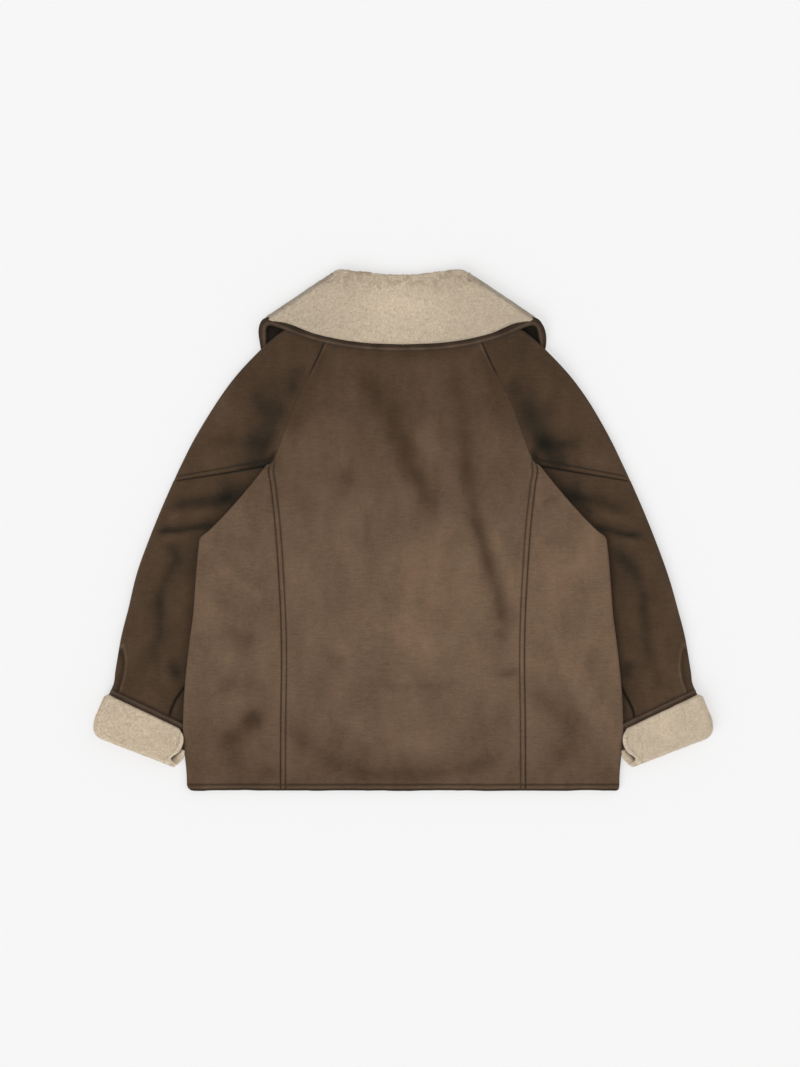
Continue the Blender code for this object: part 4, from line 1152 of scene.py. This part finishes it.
def sleeve_shadow_and_tone(plan):
    """The lower sleeve has painted shadow next to the body, and is a little lighter near the cuff."""
    body = 1.0 - clear_of_body(plan, NEAR_BODY_SHADOW["reach"])
    cuff = smooth_step((NEAR_CUFF_TONE["start"] - plan[..., 1]) / NEAR_CUFF_TONE["ramp"])
    return (1.0 + NEAR_BODY_SHADOW["tone"] * body) * (1.0 + NEAR_CUFF_TONE["tone"] * cuff)


# ---------------------------------------------------------------- pile


# Columns of the cuff's upper layer and of its under layer, closer at the split.
CUFF_SHARES = (np.linspace(0.0, 1.0, 76) ** 1.35, 1.0 - np.linspace(1.0, 0.0, 32) ** 1.6)
CUFF_LENGTH = 53.0       # from its bound edge to its fold, in mm
# The edge of the cuff's split, and along it: its rim with a painted highlight, painted shade at the rim's
# edge, and painted shadow behind it.
SLIT = ((285.2, -266.0), (285.6, -276.0), (291.2, -286.5), (304.5, -299.5))
SLIT_MARKS = dict(rim=(2.2, 1.5), edge=(5.0, 0.9), shade=(0.6, 2.4))   # at, and half width, in mm
# What they do to the tone: painted highlight on the rim, painted shade at its edge, a shaded under layer and
# painted shadow behind the split.
SLIT_LIGHT_AND_SHADE = dict(rim=0.10, edge=-0.22, under=0.93, shade=-0.72)       # and what they do to its tone
CUFF_LEGS = (8, 46)      # rows of the cuff inside its fold, and outside
COLLAR_LEGS = (9, 54)    # rows of the collar's stand, and of its fall
CUFF_DRAWN = dict(bound=3.6, bound_share=0.10, round=8.5, inside=4.0)  # its corners, in mm
STRIP_DRAWN = dict(outer=2.2, inner=8.0)   # the binding starts further in, and goes on under the body
# The pile beside a binding is pressed down, in metres, and darkened as painted shade, over a share of the
# cuff or the collar.
PRESSED = dict(down=0.0010, dent=0.5, cuff=0.07, collar=0.05)
# Heights of the pile's curls, in mm, and how plainly painted shade marks their hollows.
CURL = dict(ridges=0.42, small=0.34, broad=0.30, hollow=0.18, deep=0.42)
CUFF_CURL = 0.62         # how high the cuffs' pile curls
COLLAR_CURL = dict(fall=0.55, roll=0.95, reach=0.34, hidden=0.25)   # and the collar's, most at its roll
# The hollows between the tufts of the roll are marked with painted shade.
TUFTS = dict(size=0.0062, more=0.15, least=0.06, deep=0.75)   # hollows between the tufts of the roll
# The collar darkens where it goes down over the shoulders: out from this X, down from this Z, in metres.
CORNER_SHADE = dict(tone=0.32, x=0.080, x_ramp=0.020, z=0.01755, z_ramp=0.0018)
# Loose hairs, in metres: how they lean and rise, root, half thickness, range of sizes and tones, and the
# painted shade at their roots.
HAIR = dict(lean=0.75, rise=0.25, root=0.0003, thick=0.00020, sizes=(0.55, 1.0), tones=(0.82, 1.14),
            dent=0.35)
CUFF_HAIRS = dict(count=19000, length=0.0019)
COLLAR_HAIRS = dict(count=42000, length=0.0020)
COLLAR_COUNTS = (66, 34, 56)   # points of a row: behind the neck, over the shoulder, on the front


def turned_back(inner_leg, outer_leg, air):
    """Stations of cloth that turns back on itself: along, then past and half height for each face."""
    near = air / 2
    bend = CLOTH + SEAM / 2
    middle = near + bend
    inner_leg = np.asarray(inner_leg, float)
    outer_leg = np.asarray(outer_leg, float)
    angle = np.linspace(0.0, math.pi, TURN_STEPS + 1)[1:-1]
    along = np.concatenate((inner_leg, np.full(len(angle), inner_leg[-1]), outer_leg))
    zero_in = np.zeros(len(inner_leg))
    zero_out = np.zeros(len(outer_leg))
    pile_past = np.concatenate((zero_in, bend * np.sin(angle), zero_out))
    pile_half = np.concatenate((zero_in + near, middle - bend * np.cos(angle), zero_out + middle + bend))
    suede_past = np.concatenate((zero_in, SEAM / 2 * np.sin(angle), zero_out))
    suede_half = np.concatenate((zero_in + near + CLOTH, middle - SEAM / 2 * np.cos(angle),
                                 zero_out + middle + SEAM / 2))
    return along, (pile_past, pile_half), (suede_past, suede_half)


def curled(grid, amount, seed):
    """Pile: the grid moved along its normals by curls of three sizes, and its hollows marked with painted
    shade.
    """
    points = grid[..., :3]
    way = normals(points)
    ridges = 1.0 - 2.0 * np.abs(lumps(points, 0.0042, seed))
    small = lumps(points, 0.0021, seed + 1)
    broad = lumps(points, 0.016, seed + 2)
    fine = CURL["ridges"] * ridges + CURL["small"] * small
    height = (fine + CURL["broad"] * broad) * MM * amount
    moved = grid.copy()
    moved[..., :3] += way * height[..., None]
    moved[..., 4] = np.clip(moved[..., 4] + CURL["hollow"] - CURL["deep"] * amount * fine, 0.0, 1.0)
    return moved


def fibres(name, grid, count, length, seed):
    """Loose hairs on a pile: thin three-sided spikes, set at random on the grid and leaning at random.

    A hair's root is a point of a cell, its way is the normal plus a random lean, and it ends in a tip.
    """
    chance = np.random.default_rng(seed)
    points = grid[..., :3]
    way = normals(points)
    across = points[:-1, 1:] - points[:-1, :-1]
    along = points[1:, :-1] - points[:-1, :-1]
    area = np.linalg.norm(np.cross(across, along), axis=-1).reshape(-1)
    cell = chance.choice(area.size, size=count, p=area / area.sum())
    row, column = np.unravel_index(cell, (points.shape[0] - 1, points.shape[1] - 1))
    place = chance.random((count, 2))
    u, v = place[:, :1], place[:, 1:]

    def inside(values):
        """A value inside the chosen cells, blended from their corners."""
        low = values[row, column] * (1 - u) + values[row, column + 1] * u
        high = values[row + 1, column] * (1 - u) + values[row + 1, column + 1] * u
        return low * (1 - v) + high * v

    root = inside(points)
    out = unit(inside(way))
    lean = chance.normal(size=(count, 3)) * HAIR["lean"]
    hair = unit(out + lean)
    hair = unit(hair + out * np.clip(HAIR["rise"] - (hair * out).sum(-1, keepdims=True), 0.0, None))
    size = length * chance.uniform(*HAIR["sizes"], (count, 1))
    first = unit(np.cross(hair, chance.normal(size=(count, 3))))
    second = np.cross(hair, first)
    corners = [first, -0.5 * first + 0.866 * second, -0.5 * first - 0.866 * second]
    base = root - out * HAIR["root"]
    spikes = np.stack([base + corner * HAIR["thick"] for corner in corners] + [base + hair * size], 1)
    tone = inside(grid[..., 3:4]) * chance.uniform(*HAIR["tones"], (count, 1))
    # Painted shade at each hair's root, none at its tip.
    dent = np.tile(np.array((1.0, 1.0, 1.0, 0.0)) * HAIR["dent"], (count, 1))
    finish = np.stack((np.repeat(tone, 4, 1), dent), -1)
    spikes = np.concatenate((spikes, finish), -1).reshape(-1, 5)
    start = np.arange(count)[:, None, None] * 4
    faces = (start + np.array(((0, 1, 3), (1, 2, 3), (2, 0, 3)))).reshape(-1, 3)
    piece = mesh_piece(name, spikes, faces, [pile])
    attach(piece, "root")
    return piece


def cuff_ring(along, past, half, shares, drawn_in=0.0, reach_in=0.0):
    """Rows round the cuff: along the upper layer, round its outer side, and back along the under."""
    upper, centre, under, way = cuff_plan(along, past)
    centre = centre - way * drawn_in * MM
    upper = upper - way * reach_in * MM
    drawn = CUFF_DRAWN["bound"] * (1.0 - smooth_step(along / CUFF_DRAWN["bound_share"]))
    reach = along * CUFF_LENGTH + past / MM - CUFF_LENGTH - (CLOTH + SEAM / 2) / MM
    bend = np.clip(1.0 + reach / CUFF_DRAWN["round"], 0.0, 1.0)
    drawn = drawn + CUFF_DRAWN["round"] * (1.0 - np.sqrt(1.0 - bend ** 2))
    centre = centre - way * drawn[:, None] * MM
    bend = np.clip(1.0 + reach / CUFF_DRAWN["inside"], 0.0, 1.0)
    short = way * (CUFF_DRAWN["inside"] * MM * (1.0 - np.sqrt(1.0 - bend ** 2)))[:, None]
    upper, under = upper + short, under + short
    upper_share, under_share = (share[:, None] for share in shares)
    top = upper[:, None] * (1.0 - upper_share) + centre[:, None] * upper_share
    bottom = centre[:, None] * (1.0 - under_share) + under[:, None] * under_share
    low = np.maximum(CUFF_HALF - half, 0.0)
    high = CUFF_HALF + half
    turn = half_round(centre, way, low, high, ROUND_STEPS)
    return np.concatenate((raised(top, high[:, None]), turn, raised(bottom, low[:, None])), 1)


def make_cuff(name, side, seed):
    """The cuff: joined to the sleeve, folded outwards and turned back over it, pile outside."""
    inner_leg = np.linspace(CUFF_ROWS[2], 1.0, CUFF_LEGS[0])
    outer_leg = np.linspace(1.0, 0.0, CUFF_LEGS[1])
    along, pile_face, suede_face = turned_back(inner_leg, outer_leg, CUFF_AIR)
    outer, inner = (painted(to_side(cuff_ring(along, *face, CUFF_SHARES), side))
                    for face in (pile_face, suede_face))
    flat, area = cut_of(outer, inner)
    upper = CUFF_SHARES[0].size
    # Patches of the pile's own tone, with painted light on the left cuff and painted shade on the right.
    outer[..., 3] = cuff_patches_and_side_light(outer)
    slit = np.abs(from_path(np.stack((np.abs(outer[..., 0]), outer[..., 1]), -1), SLIT)[0]) / MM
    rim, edge, shade = (np.exp(-((slit - at) / wide) ** 2) for at, wide in SLIT_MARKS.values())
    # A painted highlight along the split's rim, and painted shade at the rim's edge.
    outer[:, :upper, 3] *= (1.0 + SLIT_LIGHT_AND_SHADE["rim"] * rim + SLIT_LIGHT_AND_SHADE["edge"] * edge)[:, :upper]
    under = upper + ROUND_STEPS - 1
    # The under layer as a shaded copy, with painted shadow along the split.
    outer[:, under:, 3] *= (SLIT_LIGHT_AND_SHADE["under"] + SLIT_LIGHT_AND_SHADE["shade"] * shade)[:, under:]
    bound = np.clip(1.0 - along / PRESSED["cuff"], 0.0, 1.0)[:, None] ** 2
    # Painted shade on the pile pressed down beside the binding.
    outer[..., 4] += PRESSED["dent"] * bound
    outer[:, :upper, 2] -= PRESSED["down"] * bound
    outer = curled(outer, CUFF_CURL, seed)
    piece = shell(name, outer, inner, [pile, suede], roll=PILE_RIM)
    dress(piece, name)
    shown = outer[len(inner_leg):, :upper + ROUND_STEPS]
    hairs = fibres(name + "_pile", shown, CUFF_HAIRS["count"], CUFF_HAIRS["length"], seed)
    "sleeve_lower" + name[-2:]


def cuff_patches_and_side_light(points):
    """The cuff's pile in soft patches of its own tone, with painted light: a touch paler on the left, darker
    on the right.
    """
    side = np.where(points[..., 0] < 0.0, 1.04, 0.91)
    return side + 0.05 * lumps(points[..., :3], 0.028, 61)


# Across a binding: how far from the pile, how high over its edge, both in mm, and its finish: tone and dent
# paint shade in the groove by the pile and at the free edge, and a highlight along the cord.
BINDING_ROWS = dict(
    reach=(0.3, 0.9, 1.6, 2.4, 3.2, 4.2, 5.2, 6.2, 7.1, 7.9, 8.5, 8.9, BINDING),
    rise=(-1.8, -1.7, -1.5, -1.3, -1.0, -0.3, 0.55, 0.85, 0.5, -0.4, -1.4, -2.4, -3.4),
    tone=(0.85, 0.90, 0.95, 0.95, 0.95, 1.00, 1.22, 1.50, 1.45, 1.15, 0.85, 0.65, 0.55),
    dent=(0.8, 0.55, 0.42, 0.36, 0.36, 0.25, 0.05, 0.0, 0.0, 0.1, 0.2, 0.3, 0.4),
)
STRIP_STITCH = 1.6       # reach of its row of stitches, in mm
STRIP_MIDDLE = 3.2       # reach of the row along which its puckers are spaced, in mm
PUCKER = dict(high=0.00020, pitch=0.0055, lump=0.00035, lump_size=0.012)   # by its stitches, in metres


def make_binding(name, outer, inner, side, bound_piece):
    """A strip sewn round an edge: low in a groove next to the pile, then over a cord-like edge.

    The rows of both grids run across the strip as in BINDING_ROWS. The strip is puckered by its
    stitches: a sine along it and lumps. Gives the row of its stitches.
    """
    row = outer[BINDING_ROWS["reach"].index(STRIP_MIDDLE)]
    length = np.cumsum(np.linalg.norm(np.diff(row, axis=0, prepend=row[:1]), axis=-1))
    pucker = PUCKER["high"] * np.sin(2 * math.pi * length / PUCKER["pitch"])
    pucker = pucker + PUCKER["lump"] * lumps(row, PUCKER["lump_size"], 9)
    reach, tone, dent = (np.array(BINDING_ROWS[key])[:, None] for key in ("reach", "tone", "dent"))
    outer = outer.copy()
    outer[..., 2] += pucker * np.sin(reach / BINDING * math.pi) * (outer[..., 2] > CLOTH * 0.9)
    shade = 1.0 + 0.22 * lumps(row, 0.016, 10) + 0.10 * lumps(row, 0.005, 12)
    # The rows' tone and dent paint shade in the groove and at the free edge and a highlight along the cord;
    # the lumps add patches of the strip's own tone.
    outer = painted(to_side(outer, side), tone * shade, dent)
    # The strip's inner face in painted shade.
    inner = painted(to_side(inner, side), 0.5, 0.6)
    piece = shell(name, outer, inner, [suede_strip])
    dress(piece, name)
    (width, _), area = cut_of(outer, inner)
    return outer[BINDING_ROWS["reach"].index(STRIP_STITCH)]


def make_cuff_binding(name, side):
    """The strip round the cuff's upper edge."""
    past = -np.array(BINDING_ROWS["reach"]) * MM
    rise = np.array(BINDING_ROWS["rise"]) * MM
    start = np.zeros(len(past))
    drawn = (STRIP_DRAWN["outer"], STRIP_DRAWN["inner"])
    outer = cuff_ring(start, past, CUFF_HALF + rise, CUFF_SHARES, *drawn)
    inner = cuff_ring(start, past, start + CUFF_HALF - CLOTH, CUFF_SHARES, *drawn)
    return make_binding(name, outer, inner, side, "cuff" + name[-2:])


def collar_half(place, past, half, counts):
    """Rows round half the collar: -1 at the neck seam, 0 at the roll, 1 at the bound edge.

    Each row runs from the middle of the back over the shoulder fold to the middle of the front.
    """
    corner = BACK_SEAM["x"][-1] / SHOULDER_FOLD_X
    share = np.concatenate((np.linspace(0.0, corner, counts[0]), np.linspace(corner, 1.0, counts[1])[1:]))
    back = {key: through(share, COLLAR_BACK["share"], values) * MM for key, values in COLLAR_BACK.items()}
    seam_x = share * SHOULDER_FOLD_X * MM
    back_rings = (np.stack((seam_x, neck_edge(seam_x) + SEAM), -1),
                  np.stack((back["roll_x"], back["roll_y"]), -1),
                  np.stack((back["edge_x"], back["edge_y"]), -1))
    rows = np.arange(len(COLLAR_FRONT["seam_x"]))
    at = np.linspace(0.0, rows[-1], counts[2])
    front_rings = [np.stack([through(at, rows, COLLAR_FRONT[key + axis]) for axis in ("_x", "_y")], -1) * MM
                   for key in ("seam", "roll", "edge")]
    down = np.maximum(place, 0.0)[:, None, None]
    stand = np.maximum(-place, 0.0)[:, None, None]
    plans = []
    fall = np.array(COLLAR_SIDE["fall"])
    turning = smooth_step((share[:, None] - 0.62) / 0.38)
    turned = smooth_step(1.0 - at[:, None] / 2.0)
    for (seam, roll, edge), corner_share in ((back_rings, turning), (front_rings, turned)):
        plan = roll * (1.0 - down - stand) + edge * down + seam * stand
        way_out = unit(unit(roll - edge) * (1.0 - corner_share) + unit(fall) * corner_share)
        plans.append(plan + way_out * past[:, None, None] * (1.0 + corner_share ** 3))
    upper, under = plans
    way = unit(fall * (1.0 - stand[:, 0]) + np.array(COLLAR_SIDE["seam"]) * stand[:, 0])
    low = np.maximum(COLLAR_HALF - half, 0.0)
    high = COLLAR_HALF + half
    turn = half_round(upper[:, -1], way, low, high, COLLAR_STEPS, ahead=2.0 * past)
    top = raised(upper, high[:, None])
    behind = smooth_step((upper[..., 1] - SAG_FROM) / (COLLAR_BACK["roll_y"][0] * MM - SAG_FROM))
    middle = np.clip(1.0 - (upper[..., 0] / (COLLAR_BACK["roll_x"][-1] * MM)) ** 2, 0.0, 1.0)
    top[..., 2] -= COLLAR_SAG * behind * middle
    return np.concatenate((top, turn, raised(under, low[:, None])), 1)


def collar_ring(place, past, half):
    """Both halves of the collar's rows, from the left front round the back to the right front."""
    ring = collar_half(place, past, half, COLLAR_COUNTS)
    return leaned(np.concatenate((to_side(ring, -1.0)[:, :0:-1], ring), 1))


def leaned(points):
    """The collar's points moved to the left, more and more towards its top."""
    share = (points[..., 1] / MM - COLLAR_LEAN["start"]) / (COLLAR_LEAN["end"] - COLLAR_LEAN["start"])
    moved = points.copy()
    moved[..., 0] -= COLLAR_LEAN["by"] * MM * smooth_step(share)
    return moved


def make_collar(seed):
    """The collar: stand and fall in one, rolled over all round, pile outside, open at the front."""
    inner_leg = np.linspace(-1.0, 0.0, COLLAR_LEGS[0])
    outer_leg = np.linspace(0.0, 1.0, COLLAR_LEGS[1])
    place, pile_face, suede_face = turned_back(inner_leg, outer_leg, AIR)
    outer, inner = (painted(collar_ring(place, *face)) for face in (pile_face, suede_face))
    flat, area = cut_of(outer, inner)
    near_roll = 1.0 - smooth_step(np.maximum(place, 0.0) / COLLAR_CURL["reach"])
    shown = outer[..., 2] > COLLAR_HALF * 0.6
    # The collar's pile: painted highlight in its middle, painted shade towards its ends.
    outer[..., 3] = collar_light_and_patches(outer)
    beyond = smooth_step((np.abs(outer[..., 0]) - CORNER_SHADE["x"]) / CORNER_SHADE["x_ramp"])
    below = smooth_step((CORNER_SHADE["z"] - outer[..., 2]) / CORNER_SHADE["z_ramp"])
    outer[..., 3] *= 1.0 - CORNER_SHADE["tone"] * beyond * below
    # Painted shadow on the suede face inside the collar's curl.
    inner[..., 3] = HOLLOW_SHADOW
    bound = np.clip((place - (1.0 - PRESSED["collar"])) / PRESSED["collar"], 0.0, 1.0)[:, None] ** 2
    tufts = np.clip(lumps(outer[..., :3], TUFTS["size"], 71) + TUFTS["more"], 0.0, 1.0)
    hollows = TUFTS["least"] + TUFTS["deep"] * tufts
    # Painted shade on the pile pressed beside the binding and in the hollows between the roll's tufts.
    outer[..., 4] = PRESSED["dent"] * bound + near_roll[:, None] * hollows
    outer[..., 2] -= np.where(shown, PRESSED["down"] * bound, 0.0)
    curl = (COLLAR_CURL["fall"] + COLLAR_CURL["roll"] * near_roll)[:, None]
    outer = curled(outer, curl * np.where(shown, 1.0, COLLAR_CURL["hidden"]), seed)
    outer[..., 2] = np.maximum(outer[..., 2], 0.0)
    piece = shell("collar", outer, inner, [pile, suede], roll=PILE_RIM)
    dress(piece, "collar")
    across = COLLAR_COUNTS[2] - 6
    shown = outer[len(inner_leg):, across:-across]
    hairs = fibres("collar_pile", shown, COLLAR_HAIRS["count"], COLLAR_HAIRS["length"], seed)


def collar_light_and_patches(points):
    """The collar's pile has a painted highlight in its middle and painted shade towards its ends, over soft
    patches of its own tone.
    """
    x, y = points[..., 0] + 0.008, points[..., 1]
    middle = np.exp(-(x / 0.068) ** 2 - ((y - 0.287) / 0.045) ** 2)
    return 0.81 + 0.19 * middle + 0.04 * lumps(points[..., :3], 0.030, 62)


def make_collar_binding():
    """The strip round the collar's outer edge: over the back, curled over the shoulder, and under."""
    knots = np.stack((COLLAR_STRIP["pile_x"], COLLAR_STRIP["pile_y"]), -1)
    keys = np.concatenate(([0.0], np.cumsum(np.linalg.norm(np.diff(knots, axis=0), axis=-1))))
    at = np.linspace(0.0, keys[-1], int(keys[-1] / 1.7))
    lines = {key: through(at, keys, values) * MM for key, values in COLLAR_STRIP.items()}
    share = (np.array(BINDING_ROWS["reach"]) / BINDING)[:, None]
    x = lines["pile_x"] * (1.0 - share) + lines["free_x"] * share
    y = lines["pile_y"] * (1.0 - share) + lines["free_y"] * share
    rise = np.array(BINDING_ROWS["rise"])[:, None] * MM
    high = np.maximum(lines["high"] + rise, 0.0006)
    low = np.minimum(np.maximum(lines["high"] - CLOTH, 0.0), high - 0.0005)
    grids = [np.stack((x, y, height), -1) for height in (high, low)]
    outer, inner = (leaned(np.concatenate((to_side(grid, -1.0)[:, :0:-1], grid), 1)) for grid in grids)
    return make_binding("collar_binding", outer, inner, 1.0, "collar")


# ---------------------------------------------------------------- stitches


def make_stitches(name, paths):
    """Rows of short stitches: six-sided beads along each path, one every pitch, lying on the cloth."""
    sides = 6
    turns = np.linspace(0.0, 2 * math.pi, sides + 1)[:-1]
    ends = np.array((-1.0, -0.8, -0.3, 0.3, 0.8, 1.0))
    thick = np.repeat((0.05, 0.7, 1.0, 1.0, 0.7, 0.05), sides)
    bead = np.stack((np.repeat(ends, sides), np.tile(np.cos(turns), len(ends)) * thick,
                     np.tile(np.sin(turns), len(ends)) * thick), -1)
    index = np.arange(len(bead)).reshape(len(ends), sides)
    turned = np.roll(index, -1, 1)
    quads = np.stack((index[:-1], turned[:-1], turned[1:], index[1:]), -1).reshape(-1, 4)
    points = []
    for path in paths:
        path = path[..., :3]
        length = np.concatenate(([0.0], np.cumsum(np.linalg.norm(np.diff(path, axis=0), axis=-1))))
        at = np.arange(STITCH["pitch"] * MM / 2, length[-1], STITCH["pitch"] * MM)
        centre = np.stack([np.interp(at, length, path[:, axis]) for axis in range(3)], -1)
        before, after = (np.stack([np.interp(at + ahead, length, path[:, axis]) for axis in range(3)], -1)
                         for ahead in (-0.0008, 0.0008))
        way = unit(after - before)
        beside = unit(np.cross(way, np.array((0.0, 0.0, 1.0))))
        above = np.cross(beside, way)
        centre = centre + above * 0.00012
        points.append(centre[:, None] + bead[:, :1] * way[:, None] * STITCH["length"] / 2 * MM
                      + bead[:, 1:2] * beside[:, None] * STITCH["radius"] * MM
                      + bead[:, 2:] * above[:, None] * STITCH["radius"] * MM)
    points = np.concatenate(points)
    faces = (np.arange(len(points))[:, None, None] * len(bead) + quads).reshape(-1, 4)
    piece = mesh_piece(name, painted(points.reshape(-1, 3)), faces, [thread])
    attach(piece, "root")


# ---------------------------------------------------------------- the scene


CAMERA = dict(height=6.0, centre=(-0.00403, -0.003575), frame_height=1.3871, sensor=36.0)
# The sky's brightness at the horizon and overhead, and the heights between which it changes.
SKY = {"To Min": 0.93, "To Max": 0.55, "From Min": 0.05, "From Max": 0.55}
SUNS = (dict(name="key", toward=(-0.55, -0.62, 0.80), share=0.30, spread=50.0),
        dict(name="fill", toward=(0.70, 0.30, 1.00), share=0.155, spread=80.0))
FLOOR_SIZE = 300.0
FLOOR_GAP = 0.0003       # it lies this far under the cloth


def make_floor():
    """A plain pale floor, wide enough to meet the sky in every view."""
    shader = Shader("floor")
    mesh = bpy.data.meshes.new("floor")
    half = FLOOR_SIZE / 2
    corners = ((-half, -half), (half, -half), (half, half), (-half, half))
    mesh.from_pydata([(x, y, -FLOOR_GAP) for x, y in corners], [], [(0, 1, 2, 3)])
    shader.surface.inputs["Emission Color"].default_value = (1.0, 1.0, 1.0, 1.0)
    shader.surface.inputs["Emission Strength"].default_value = FLOOR_GLOW
    mesh.materials.append(shader.finish((*FLOOR_COLOR, 1.0), 0.95, shine=0.1))
    floor = bpy.data.objects.new("floor", mesh)
    bpy.context.collection.objects.link(floor)


def make_sky():
    """A studio sky: as bright as the floor at the horizon, and dimmer overhead."""
    world = bpy.data.worlds.new("sky")
    world.use_nodes = True
    nodes, links = world.node_tree.nodes, world.node_tree.links
    where = nodes.new("ShaderNodeTexCoord")
    split = nodes.new("ShaderNodeSeparateXYZ")
    fade = nodes.new("ShaderNodeMapRange")
    fade.interpolation_type = "SMOOTHSTEP"
    for key, number in SKY.items():
        fade.inputs[key].default_value = number
    links.new(where.outputs["Generated"], split.inputs[0])
    links.new(split.outputs["Z"], fade.inputs["Value"])
    links.new(fade.outputs["Result"], nodes["Background"].inputs["Strength"])
    nodes["Background"].inputs["Color"].default_value = (1.0, 1.0, 1.0, 1.0)
    bpy.context.scene.world = world


def make_suns():
    """Two broad soft lights; each gives its share of the floor's brightness."""
    for sun in SUNS:
        toward = unit(np.array(sun["toward"]))
        lamp = bpy.data.lights.new(sun["name"], "SUN")
        lamp.energy = float(math.pi * sun["share"] / toward[2])
        lamp.angle = math.radians(sun["spread"])
        light = bpy.data.objects.new(sun["name"], lamp)
        azimuth = math.atan2(toward[1], toward[0])
        light.rotation_euler = (0.0, math.acos(toward[2]), azimuth)
        bpy.context.collection.objects.link(light)


def make_camera():
    """Straight above, far away, with the photograph's frame."""
    lens = bpy.data.cameras.new("camera")
    lens.sensor_width = CAMERA["sensor"]
    lens.lens = CAMERA["sensor"] * CAMERA["height"] / CAMERA["frame_height"]
    camera = bpy.data.objects.new("camera", lens)
    camera.location = (*CAMERA["centre"], CAMERA["height"])
    bpy.context.collection.objects.link(camera)
    bpy.context.scene.camera = camera
    bpy.context.scene.view_settings.view_transform = "Standard"


make_camera()
make_sky()
make_suns()
make_floor()
rows_of_stitches = make_back()
make_collar(seed=11)
rows_of_stitches.append(make_collar_binding())
for mark, sign, sleeve_creases, shoulder_creases in (("R", 1.0, RIGHT_CREASES, RIGHT_SHOULDER_CREASES),
                                                    ("L", -1.0, LEFT_CREASES, LEFT_SHOULDER_CREASES)):
    rows_of_stitches += make_back_side("back_side_" + mark, sign)
    make_front("front_" + mark, sign)
    rows_of_stitches += make_sleeve_upper("sleeve_upper_" + mark, sign, shoulder_creases)
    make_sleeve_lower("sleeve_lower_" + mark, sign, sleeve_creases)
    make_cuff("cuff_" + mark, sign, seed=21 if sign > 0 else 31)
    rows_of_stitches.append(make_cuff_binding("cuff_binding_" + mark, sign))
make_stitches("stitches", rows_of_stitches)
